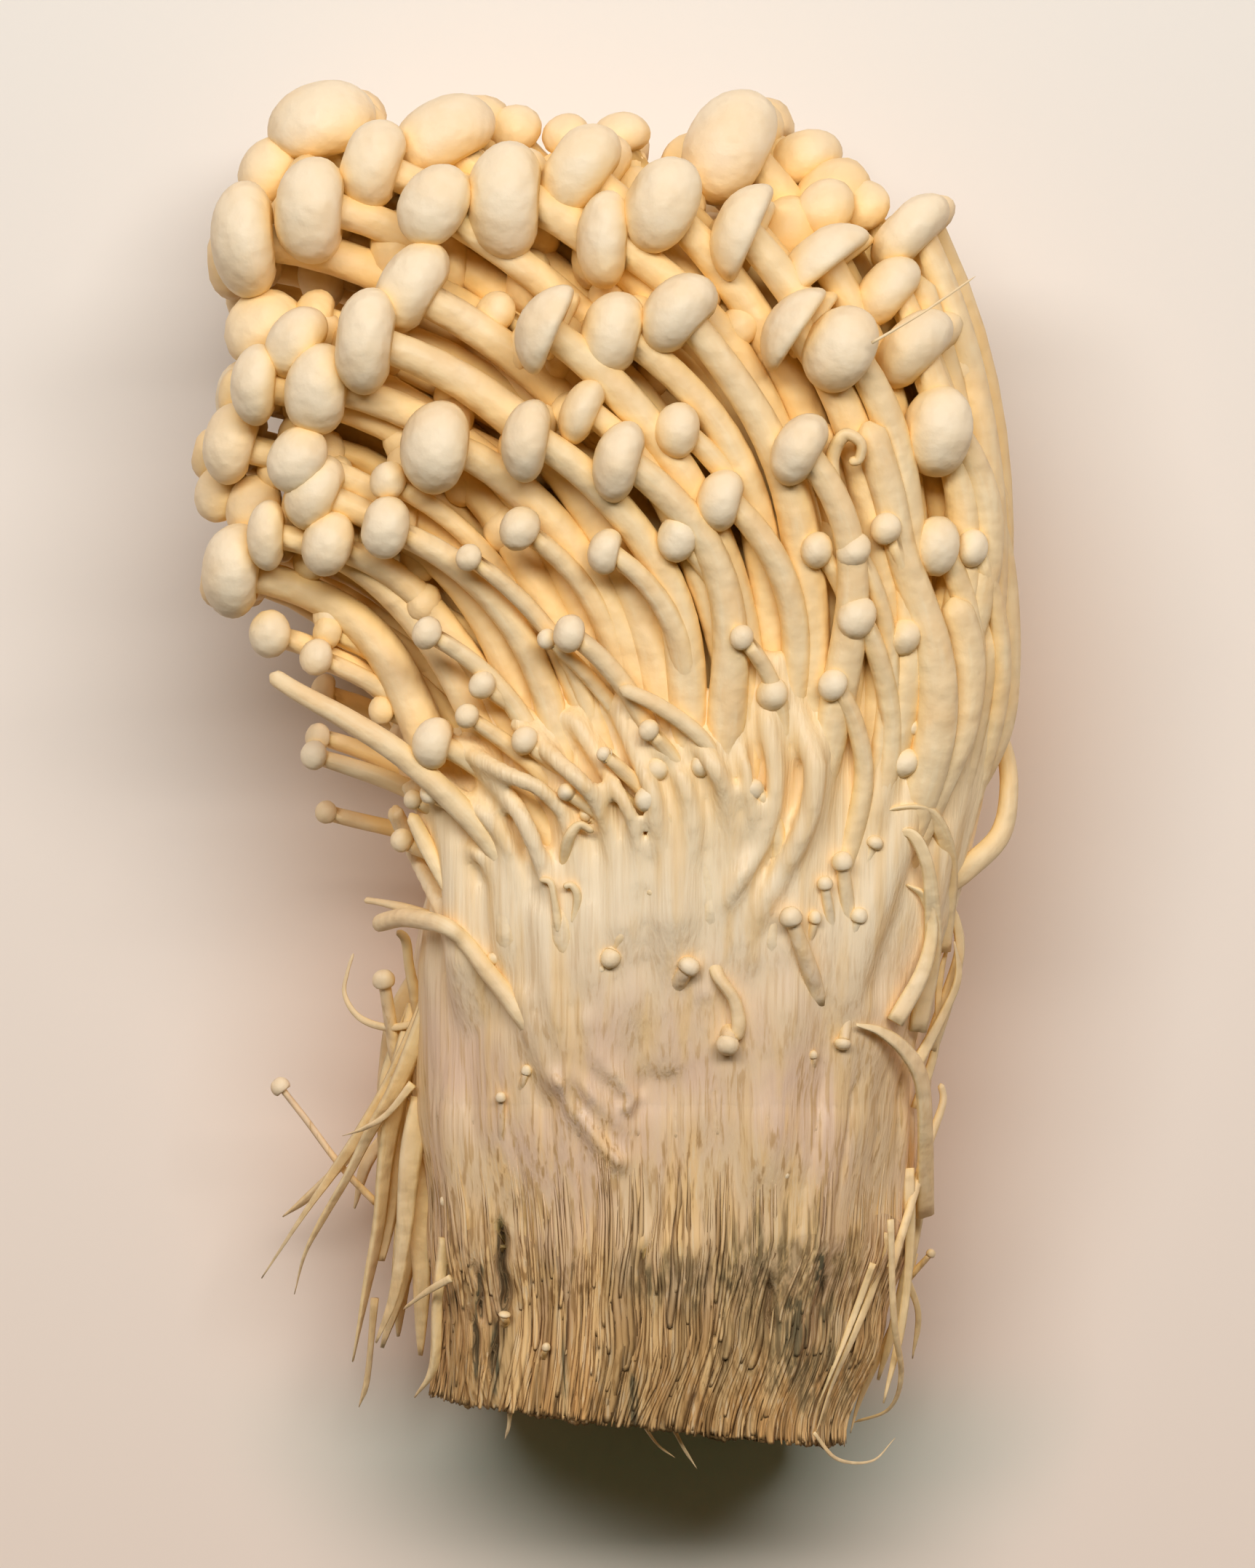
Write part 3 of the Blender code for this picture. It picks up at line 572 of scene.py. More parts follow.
# Half hidden behind those: deeper in the bunch by that share of its depth.
BEHIND = (
    (-35, 61, 7.6, 6, 60, 0.7), (-9.7, 65.3, 6, 5.6, 20, 0.6), (-4.4, 65, 5.2, 4.6, 20, 0.6),
    (0.8, 64.6, 6.4, 4.6, 20, 0.65), (19.7, 62.4, 8.6, 5.8, 22, 0.65), (21.8, 57, 6.8, 6, 45, 0.7),
    (25.7, 57.4, 5.8, 5.2, 40, 0.65), (-35, 44.7, 9, 8, 45, 0.7), (35.2, 40.5, 4.8, 4.2, 60, 0.7),
    (12.8, 44.7, 4.8, 4.2, 50, 0.75), (-11.4, 46.2, 4.6, 4, 60, 0.75), (-39.5, 28.4, 6.6, 5.6, 60, 0.6),
    (-36, 27, 7.2, 5.8, 70, 0.6), (14.5, 35.7, 3.4, 3, 50, 0.8), (-28, 16, 4.6, 4.1, 80, 0.6),
    (-29.6, 3.7, 3.1, 2.7, 80, 0.7), (-29, -4, 2.5, 2.1, 80, 0.5),
)


def middle_height(y):
    """Height of the plane that halves the bunch into a front and a back."""
    return 0.5 * float(section(y)[2])


def depth_at(x, y):
    """How far the bunch stands in front of, or behind, its middle plane."""
    left, right, front = (float(v) for v in section(y))
    across = (x - (left + right) / 2) / ((right - left) / 2 + 3)
    return 0.5 * front * max(0.0, 1 - across * across) ** 0.45


def swept_rings(path, radii, sides, flat=1.0, twist=None):
    """Rings round a path, turned as little as may be from one to the next, and the last one's side."""
    twist = 0 * path[:, 0] if twist is None else twist
    tangents = np.gradient(path, axis=0)
    tangents /= np.linalg.norm(tangents, axis=1)[:, None]
    side = np.cross(tangents[0], (0.3, 0.2, 0.93))
    around = 2 * math.pi * np.arange(sides) / sides
    c, s = np.cos(around)[:, None], np.sin(around)[:, None] * flat
    rings = []
    for point, tangent, radius, turned in zip(path, tangents, radii, twist):
        side = side - tangent * side.dot(tangent)
        side /= np.linalg.norm(side)
        up = np.cross(tangent, side)
        across = math.cos(turned) * side + math.sin(turned) * up
        along = math.cos(turned) * up - math.sin(turned) * side
        rings.append(point + radius * (c * across + s * along))
    return np.array(rings), side


def bezier(root, lift, lead, tip, count):
    """Points on the curve that leaves root towards lift and reaches tip from lead."""
    t = np.linspace(0, 1, count)[:, None]
    return root * (1 - t) ** 3 + lift * 3 * t * (1 - t) ** 2 + lead * 3 * t * t * (1 - t) + tip * t**3


def grow(into, path, radii, centre, axis, width, thick, draw, sides, deep=0.0, bend=0.12):
    """A stem along the path, and its cap: axis points from the stem through the middle of the cap. deep is
    how much painted amber glow the flesh has, and bend how far the cap's rim hangs down, as a share of its
    width."""
    stem, side = swept_rings(path, radii, sides)
    u = np.cross(axis, (0.05, 0.05, 1.0))
    u /= np.linalg.norm(u)
    v = np.cross(axis, u)
    start = math.atan2(side.dot(v), side.dot(u))
    around = start + 2 * math.pi * np.arange(sides) / sides
    c, s = np.cos(around), np.sin(around)
    oval = draw.uniform(0.84, 0.98)
    lumps = Vector((centre[0] * 0.31, centre[1] * 0.23, width))
    off = width * np.array((draw.uniform(-0.04, 0.04), draw.uniform(-0.04, 0.04)))
    dent = width * (draw.uniform(0.02, 0.05) if draw.random() < 0.3 else 0.0)
    neck = radii[-1] / width
    steps = max(8, sides // 2 + 3)
    tuck = min(0.55 + 0.075 * width, 1.08)  # how far the rim rolls in underneath
    under = 0.5 * math.sin(tuck)
    tall = 0.98 / (0.5 + under)
    profile = [(neck * 1.1, -0.75 * under), (max(neck * 1.3, 0.25), -0.94 * under)]
    profile += [(0.5 * math.cos(t) ** 0.85, 0.5 * math.sin(t)) for t in np.linspace(-tuck, 1.47, steps)]
    rings = []
    for k, (r, h) in enumerate(profile):
        share = min(1.0, k / 3)
        a = r * width * c + off[0] * share
        b = r * width * oval * s + off[1] * share
        height = (h * tall + 0.25 * (1 - tall)) * 0.95 * thick - bend * width * (2 * (r * r) - 0.22)
        if h > 0:
            height = height - dent * np.exp(-((a - off[0]) ** 2 + (b + off[1]) ** 2) / (0.19 * width) ** 2)
        ring = centre + a[:, None] * u + b[:, None] * v + np.outer(height + 0 * a, axis)
        if k > 1:
            for i, point in enumerate(ring):
                place = Vector(point) / width
                lump = 0.055 * noise.noise(place * 1.5 + lumps) + 0.012 * noise.noise(place * 6.0 + lumps)
                ring[i] = centre + (point - centre) * (1 + lump)
        rings.append(ring)
    rings = np.concatenate((stem, np.array(rings)))
    rings[..., 2] = np.maximum(rings[..., 2], LEAST_HEIGHT)
    tints = np.zeros((len(rings), 4), np.float32)
    tints[:, 0] = deep
    tints[len(stem):, 1] = 1.0
    tints[:, 3] = draw.uniform(0, 1)
    into.add(rings, tints)


def mushroom(into, x, y, z, side, width, seen, dome_way, draw, sides=18, stem_rings=20, deep=0.0):
    """One mushroom, from the place and size of its cap. seen is the cap's shorter side from the front, and
    dome_way the way its top points. side is 1 in front of the middle plane, and -1 behind it."""
    left, right, _ = (float(v) for v in section(ROOT_Y))
    long_root = left + 2 + (right - left - 4) * (LONG_ROOT[0] + LONG_ROOT[1] * x + LONG_ROOT[2] * y)
    short_root = max(7.8 + 0.6 * x, x + 1.5) - 2.5 * smooth_step(16, 24, x)
    root_x = short_root + (long_root - short_root) * smooth_step(15, 38, y)
    root_x = min(max(root_x, left + 2), right - 2)
    share = (root_x - left) / (right - left)
    root_y = ROOT_Y + 4 * math.exp(-(((root_x - 6) / 8) ** 2)) + draw.uniform(-2.5, 2.5)
    inside = (z - middle_height(y)) / max(depth_at(x, y), 1.0) * (1 - 0.12 * (y - ROOT_Y) / 95)
    root_z = middle_height(root_y) + inside * (skin_height(root_x, root_y) - middle_height(root_y) - 0.9)
    root = np.array((root_x, root_y, root_z))

    width, seen = CAP_SHARE * width, CAP_SHARE * seen
    thick = min(seen, min(0.74, 0.88 - 0.018 * width) * width)
    lean = math.sqrt(max(0.0, seen**2 - thick**2) / max(width**2 - thick**2, 0.01))
    tilt = math.asin(min(1.0, lean)) * 0.9
    way = math.radians(dome_way)
    axis = np.array((math.cos(way) * math.cos(tilt), math.sin(way) * math.cos(tilt), side * math.sin(tilt)))
    centre = np.array((x, y, z))
    tip = centre - axis * thick * 0.30

    away = np.linalg.norm(tip - root)
    sweep = math.radians(SWEEP - SWEEP_TURN * x)
    lead = np.array((math.cos(sweep), math.sin(sweep), side * 0.2)) + 0.45 * axis
    lead /= np.linalg.norm(lead)
    lift = root + np.array((0.18 * (share - 0.3) + 0.5 * max(0, share - 0.6), 1.0, side * 0.06)) * 0.42 * away
    path = bezier(root, lift, tip - lead * 0.36 * away, tip, stem_rings)
    t = np.linspace(0, 1, stem_rings)[:, None]
    sway = draw.uniform(0.3, 0.9) * min(away, 60) / 60
    phase, beat = draw.uniform(0, 6.3), draw.uniform(4, 9)
    path[:, :2] += np.sin(beat * t + phase) * sway * np.sin(math.pi * t) * np.array((1.0, 0.3))
    path[:, 2:] += np.sin(beat * 0.8 * t + phase * 2) * sway * 0.6 * np.sin(math.pi * t)
    radius = THIN_STEM + STEM_GAIN * width
    t = t[:, 0]
    radii = radius * (1 + FOOT_SWELL - FOOT_SWELL * t) * (1 + 0.04 * np.sin(11 * t + phase))
    aside = (6 - root_x) * 0.013
    spread = min(1.45 * radii[0], 0.75 * min(root_x - left, right - root_x))
    low, high = -side * (1.3 * spread + 0.6), side * (0.5 - spread)
    flared = root + np.array(((14 * aside, -14.0, low), (7 * aside, -7.0, high)))
    feet.append((np.concatenate((flared, path)), np.concatenate(((1.3 * spread, spread), radii))))
    sunk = root + np.array(((7 * aside, -7.0, -side * 3 * radius),))
    path, radii = np.concatenate((sunk, path)), np.concatenate((radii[:1] * 0.5, radii))
    bend = 0.30 if seen < 0.5 * width else 0.08
    grow(into, path, radii, centre, axis, width, thick, draw, sides, deep, bend)


feet = []  # every stem's path and radii, and how its foot runs out flat into the skin
front = Growth()
draw = random.Random(11)
for tier in (CROWN, UPPER, MIDDLE):
    for k, (x, y, width, seen, leans) in enumerate(tier):
        z = middle_height(y) + depth_at(x, y) + (0.8 if k % 2 else -0.8)
        mushroom(front, x, y, z, 1, width, seen, leans + 90, draw, sides=22, stem_rings=24)
crown = front.piece("crown_mushrooms", PAINTED_GLOW_DEPTH)

low = Growth()
for k, (x, y, width, seen, leans) in enumerate(FRINGE):
    z = middle_height(y) + depth_at(x, y) + (0.8 if k % 2 else -0.4)
    mushroom(low, x, y, z, 1, width, seen, leans + 90, draw, sides=16, stem_rings=20)
# The half hidden ones get a little painted amber glow.
for x, y, width, seen, leans, stand in BEHIND:
    z = middle_height(y) + stand * depth_at(x, y)
    mushroom(low, x, y, z, 1, width, seen, leans + 90, draw, sides=16, stem_rings=20, deep=0.25)
fringe = low.piece("short_mushrooms", PAINTED_GLOW_DEPTH)


def flesh_material(name):
    """Cream flesh: the caps paler than the stems, with painted amber glow where the stems crowd together and
    deep in the bunch.
    """
    made, tree, shader = plain_material(name, 0.52)
    growth = wire(tree, "ShaderNodeAttribute", attribute_name="growth")
    parts = wire(tree, "ShaderNodeSeparateColor", {0: growth.outputs["Color"]}).outputs
    deep, is_cap, fresh = parts[0], parts[1], parts[2]
    low_down = maths(tree, "SUBTRACT", ranged(tree, y_in(tree), 0.004, -0.018), fresh, clamp=True)
    old_cap = maths(tree, "MULTIPLY", low_down, 0.35)
    place = place_in(tree)
    clouds = grained(tree, place, 190.0, 3.0)
    pores = grained(tree, place, 1500.0, 2.0)
    along = wire(tree, "ShaderNodeUVMap", uv_map="grown").outputs[0]
    grain = grained(tree, vectors(tree, "MULTIPLY", along, (9.0, 0.16, 1.0))[0], 1.0, 2.0)
    cap = mixed(tree, ranged(tree, clouds, 0.35, 0.7), (0.91, 0.76, 0.56, 1), (0.89, 0.70, 0.47, 1))
    stem = mixed(tree, ranged(tree, clouds, 0.35, 0.7), (0.865, 0.66, 0.405, 1), (0.855, 0.605, 0.335, 1))
    stem = mixed(tree, ranged(tree, grain, 0.45, 0.75, 0, 0.35), stem, (0.94, 0.81, 0.58, 1))
    skin = body_colour(tree, 0.1)[0]
    stem = mixed(tree, low_down, stem, skin)
    cap = mixed(tree, old_cap, cap, skin)
    colour = mixed(tree, is_cap, stem, cap)
    # Painted glow: amber for flesh deep in the bunch.
    colour = mixed(tree, deep, colour, (0.95, 0.62, 0.26, 1))
    # Painted glow in the gaps where other flesh stands close.
    colour = paint_crease_light(tree, colour, PAINTED_GLOW, PAINTED_GLOW_REACH, 0.9)
    tree.links.new(colour, shader.inputs["Base Color"])
    shader.inputs["Specular IOR Level"].default_value = 0.28
    soak(shader, 0.12, 0.0014)
    dimples = {"Height": grained(tree, place, 420.0, 1.0), "Strength": 0.5, "Distance": 0.0008}
    dimples = wire(tree, "ShaderNodeBump", dimples).outputs[0]
    height = maths(tree, "MULTIPLY_ADD", grain, 0.8, pores)
    bump = {"Height": height, "Strength": 0.3, "Distance": 0.0002, "Normal": dimples}
    tree.links.new(wire(tree, "ShaderNodeBump", bump).outputs[0], shader.inputs["Normal"])
    return made


flesh = flesh_material("mushroom_flesh")
for piece in (crown, fringe):
    piece.data.materials.append(flesh)
    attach(piece, "root")
    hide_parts("mushrooms")

# ---------------------------------------------------------------------- Inner and rear mushrooms
# The same growth, seen between the front ones and from the other sides: the middle of the bunch is
# packed with stems, and the lowest rows of caps bear on the surface that the bunch lies on.

BACK_ROWS = (  # Y, share of the depth from the middle plane, mushrooms, cap width
    (60, -0.85, 3, 11.5), (48, -1, 4, 11), (35, -1, 3, 9), (21, -1, 3, 7), (7, -1, 2, 4.5),
    (62, -0.15, 4, 10.5),
)
# Along the left side: Y, share of the bunch's height, cap width.
SIDE_ROWS = ((50.0, 0.42, 9.0), (38.0, 0.6, 8.0), (31.0, 0.3, 8.0), (20.0, 0.5, 6.5), (8.0, 0.4, 4.5))
FILL_ROWS = (  # inside the bunch, as BACK_ROWS
    (63, 0.35, 7, 7.5), (56, 0.55, 8, 8), (48, 0.6, 8, 7), (40, 0.62, 8, 6.5), (31, 0.64, 8, 6),
    (23, 0.66, 7, 5), (14, 0.7, 7, 4.2), (5, 0.72, 7, 3.4), (52, 0.2, 6, 7.5), (36, 0.2, 6, 7),
    (20, 0.25, 6, 5), (56, -0.5, 5, 9), (41, -0.6, 6, 8), (28, -0.75, 6, 6.5), (14, -0.8, 6, 5),
    (2, -0.9, 6, 3.6),
)
UNDER = ((1.6, 2.0, 0.8), (-2.0, 3.6, 0.66))  # two more behind each cap: aside, below, share of its size
rear = Growth()
draw = random.Random(7)
jitter = random.Random(23)
for y, stand, count, width in BACK_ROWS:
    left, right, _ = (float(v) for v in section(y))
    for k in range(count):
        x = left + 4 + (right - left - 9) * (k + 0.5) / count + draw.uniform(-2.5, 2.5)
        at = y + draw.uniform(-3.5, 3.5)
        size = width * draw.uniform(0.8, 1.15)
        z = max(middle_height(at) + stand * depth_at(x, at), 0.42 * size)
        seen = size * draw.uniform(0.5, 0.8)
        way = 160 - 0.45 * x + draw.uniform(-12, 12)
        mushroom(rear, x, at, z, -1, size, seen, way, jitter, sides=14, stem_rings=14)
for y, height, width in SIDE_ROWS:
    left, _, tall = (float(v) for v in section(y))
    x = left + 1.5
    way = 160 - 0.45 * x
    mushroom(rear, x, y, height * tall, -1, width, 0.6 * width, way, jitter, sides=14, stem_rings=14)
# The inner ones get painted amber glow, more of it in front of the middle plane.
for y, stand, count, width in FILL_ROWS:
    left, right, _ = (float(v) for v in section(y))
    for k in range(count):
        x = left + 3 + (right - left - 8) * (k + 0.5) / count + jitter.uniform(-2, 2)
        at = y + jitter.uniform(-3, 3)
        size = width * jitter.uniform(0.75, 1.15)
        z = max(middle_height(at) + stand * depth_at(x, at), 0.42 * size)
        way = 160 - 0.45 * x + jitter.uniform(-15, 15)
        side = 1 if stand > 0 else -1
        mushroom(
            rear, x, at, z, side, size, size * jitter.uniform(0.55, 0.85), way, jitter,
            sides=12, stem_rings=12, deep=0.55 if side > 0 else 0.15,
        )
# Those under the caps get painted amber glow, more of it the lower they sit.
for tier in (CROWN, UPPER, MIDDLE):
    for x, y, width, seen, leans in tier:
        for aside, below, size in UNDER:
            at_x, at_y = x + aside * jitter.uniform(0.6, 1.3), y + aside * jitter.uniform(0, 0.8)
            z = middle_height(y) + depth_at(x, y) - 0.7 * seen - below
            mushroom(
                rear, at_x, at_y, z, 1, size * width, size * seen, leans + 90, jitter,
                sides=12, stem_rings=15, deep=0.15 + 0.1 * below,
            )
inner = rear.piece("inner_mushrooms", PAINTED_GLOW_DEPTH)
inner.data.materials.append(flesh)
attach(inner, "root")
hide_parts("mushrooms")

# ---------------------------------------------------------------------- Fused feet
# Where the stems leave the collar their flesh has grown together, so no crease runs down between
# them: each foot swells and runs out flat into the skin. One body of flesh, with no edges.

WEB_LOW, WEB_TOP, WEB_RINGS, WEB_SIDES = -38.0, 12.0, 64, 150
WEB_INSET = (  # at each Y, how far the web's own skin lies below the body's
    (-38, -36, -33, -20, -14, -8, -2, 4, 8, 12), (2.5, 0.8, 0.0, 0.0, 0.7, 1.8, 3.2, 4.8, 6.8, 9.5),
)
WEB_VOXEL, WEB_ROUNDS = 0.5, 9  # grain of the grown-together flesh, and rounds of smoothing
HIDDEN_TOP = 3.4  # how far the top of a sunken stem dips under its neighbours
# Stems that have sunk most of the way into the skin: width at the top and at the foot, and their way.
SUNKEN = (
    (2.3, 1.5, ((-7, 3), (-5, 1), (-1.9, -1.9), (0, -6.3), (0.8, -11.1), (0.4, -16.9), (0.2, -22))),
    (1.9, 1.4, ((-1.5, 2), (0.6, -1.4), (2.2, -4.6), (2.9, -8.7), (2.6, -13), (2.4, -18))),
    (2.2, 1.5, ((2.6, 2), (4.2, -2), (4.9, -7), (4.8, -11), (4.2, -16))),
    (2.2, 1.6, ((4.2, 3.5), (6.9, 0), (8.2, -4), (8.2, -8.4), (7.3, -13), (6.9, -18))),
    (2.4, 1.6, ((7.6, 4.6), (10.2, 1), (11.8, -3), (12.4, -8), (11.6, -13), (10.6, -19))),
    (2.8, 1.9, ((18.6, 6), (20.4, 1), (19.8, -4.5), (17.4, -9.5), (14.8, -14.5), (13.4, -20), (12.9, -26))),
    (2.3, 1.7, ((15.8, 5), (16.6, -1), (15.4, -6.5), (12.8, -11), (10.4, -15.6), (9.4, -22.5))),
    (2.2, 1.5, ((-13.4, 1.6), (-10.4, 0), (-6.6, -1.8), (-4.2, -5), (-3, -9.4), (-2.6, -15))),
    (2.2, 1.6, ((-14.9, -2.6), (-12.2, -4.4), (-10.2, -7.2), (-9.1, -10.6), (-8.8, -16), (-8.9, -21))),
    (2.3, 1.7, ((-11.8, -0.6), (-9.2, -3.6), (-7.4, -7.4), (-6, -11.6), (-5.4, -16), (-5.4, -22))),
    (1.7, 1.3, ((-15, -6.6), (-12.7, -8.6), (-11.2, -11.6), (-10.8, -15.4), (-11.2, -20))),
    (2.1, 1.5, ((-20.4, -6.8), (-19.2, -9.4), (-17.6, -12.6), (-16.2, -16.4), (-15.6, -22))),
    (2, 1.4, ((-18, -5), (-16, -8.4), (-14.2, -12), (-13.2, -16.4), (-13.2, -21))),
    (1.6, 1.2, ((13, 3), (14, -1.8), (14.2, -6), (13.8, -10))),
)


def skin_turn(points):
    """The angle round the body at which those points lie."""
    left, right, front = section(points[:, 1])
    across = (points[:, 0] - (left + right) / 2) * 2 / (right - left)
    up = (points[:, 2] - front / 2) * 2 / front
    up, across = (np.sign(v) * np.abs(v) ** (1 / ROUNDNESS) for v in (up, across))
    return np.arctan2(up, across)


def smooth_way(corners, count):
    """Points on a smooth curve through the corners."""
    corners = np.array(corners, float)
    ends = np.concatenate(([2 * corners[0] - corners[1]], corners, [2 * corners[-1] - corners[-2]]))
    spans = len(corners) - 1
    k = np.minimum((np.linspace(0, spans, count)).astype(int), spans - 1)
    t = (np.linspace(0, spans, count) - k)[:, None]
    a, b, c, d = ends[k], ends[k + 1], ends[k + 2], ends[k + 3]
    return 0.5 * (2 * b + (c - a) * t + (2 * a - 5 * b + 4 * c - d) * t**2 + (3 * b - a - 3 * c + d) * t**3)


web = Growth()
around = turns(WEB_SIDES)
rings = []
for y in np.linspace(WEB_LOW, WEB_TOP, WEB_RINGS):
    inset = np.interp(y, *WEB_INSET)
    x = skin_point(around, y + 0 * around)[:, 0]
    fused = 0.5 * smooth_step(18, 31, x) + 0.1 * np.exp(-(((x - 5) / 7) ** 2))
    fused = fused - 0.7 * smooth_step(-8, -17, x)
    rings.append(skin_point(around, y + 0 * around, inset * (1 - fused))[::-1])
web.add(np.array(rings), np.zeros((len(rings), 4)))
for path, radii in feet:
    count = int(np.argmax(path[:, 1] > 11.0))
    if count < 3:
        continue
    path, radii = path[:count], radii[:count]
    swell = np.interp(path[:, 1], (-24, -14, -2, 9), (0.0, 0.35, 0.15, -0.4))
    tube, _ = swept_rings(path, radii + swell, 12)
    tube[..., 2] = np.maximum(tube[..., 2], 0.5)
    web.add(tube, np.zeros((count, 4)))
for wide, narrow, corners in SUNKEN:
    (x, y), (next_x, next_y) = corners[:2]
    hidden_top = (x + 1.2 * (x - next_x), y + 1.2 * (y - next_y))
    path = smooth_way([(x, y, 0.0) for x, y in (hidden_top, *corners)], 18)
    t = np.linspace(0, 1, len(path))
    radii = (wide + (narrow - wide) * t) / 2
    over = radii * (0.35 - 1.35 * smooth_step(0.45, 1, t)) - HIDDEN_TOP * smooth_step(0.42, 0, t)
    surface = np.array([skin_height(x, y) for x, y in path[:, :2]])
    path[:, 2] = surface + fold_height(path[:, 0], path[:, 1]) + over
    web.add(swept_rings(path, radii, 12)[0], np.zeros((len(path), 4)))
webs = web.piece("fused_feet")
for kind, settings in (
    ("REMESH", {"mode": "VOXEL", "voxel_size": WEB_VOXEL * MM, "use_smooth_shade": True}),
    ("SMOOTH", {"factor": 0.5, "iterations": WEB_ROUNDS}),
):
    step = webs.modifiers.new(kind.lower(), kind)
    for key, value in settings.items():
        setattr(step, key, value)
webs_mesh = bpy.data.meshes.new_from_object(webs.evaluated_get(bpy.context.evaluated_depsgraph_get()))
webs.modifiers.clear()
webs.data = webs_mesh
points = np.empty(3 * len(webs_mesh.vertices))
webs_mesh.vertices.foreach_get("co", points)
points = points.reshape(-1, 3) / MM + PLAN_ZERO
on_skin = skin_point(skin_turn(points), points[:, 1], 0.03)
near = smooth_step(1.6, 0.8, np.linalg.norm(points - on_skin, axis=1)) * smooth_step(-28, -33, points[:, 1])
points += (on_skin - points) * near[:, None]  # its lower edge lies on the collar's own skin
webs_mesh.vertices.foreach_set("co", ((points - PLAN_ZERO) * MM).ravel())
webs_mesh.shade_smooth()
webs_mesh.materials.append(collar_flesh)
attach(webs, "root")
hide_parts("mushrooms")

# ---------------------------------------------------------------------- Pins and torn strands
# Pins are mushrooms that stopped growing, on the collar's skin. The strands are stems and strips of
# skin that tore loose when the bunch left its bottle, and outer stems that lean away to the right.

PINS = (  # cap's X, Y, width and thickness, the way it points in degrees, and its stem's length
    (23.2, -8.8, 2.2, 1.8, 95, 8), (26.6, -6.9, 1.8, 1.2, 60, 7), (21.5, -11, 1.6, 1.3, 100, 6),
    (18.1, -14.3, 2.4, 1.9, 110, 9), (20.5, -14.4, 1.4, 1.3, 80, 4), (24.9, -14.2, 1.8, 1.5, 85, 6),
    (27.5, -12.7, 1.6, 0.9, 75, 6), (7.9, -19.2, 2.3, 1.6, 60, 2), (0, -18.5, 2.1, 1.8, -110, 1),
    (11.8, -27.2, 2.4, 1.8, -100, 1), (23.4, -27.2, 1.8, 1, 265, 6), (-11.6, -18.6, 1.5, 1.1, 262, 1),
    (-8.3, -29.8, 1.1, 1, 80, 3), (-10.9, -32.5, 1.1, 1, 95, 6), (-16.6, -43.2, 1.2, 1.1, 110, 4),
    (17.7, -40.3, 0.8, 0.7, 60, 3), (20.1, -49, 0.9, 0.8, 90, 3), (-10.6, -54.5, 1.3, 0.5, 90, 1),
    (-6.4, -57.7, 0.9, 0.8, 80, 1), (20.4, -28.2, 0.9, 0.8, 90, 2), (30.8, -41, 1.2, 1, 60, 4),
    (-0.9, -19.6, 1, 0.8, 200, 1), (32.8, -49, 1, 0.8, 50, 5),
)
ON_SKIN = 5.0  # a height under this is from the collar's skin, not from the surface below
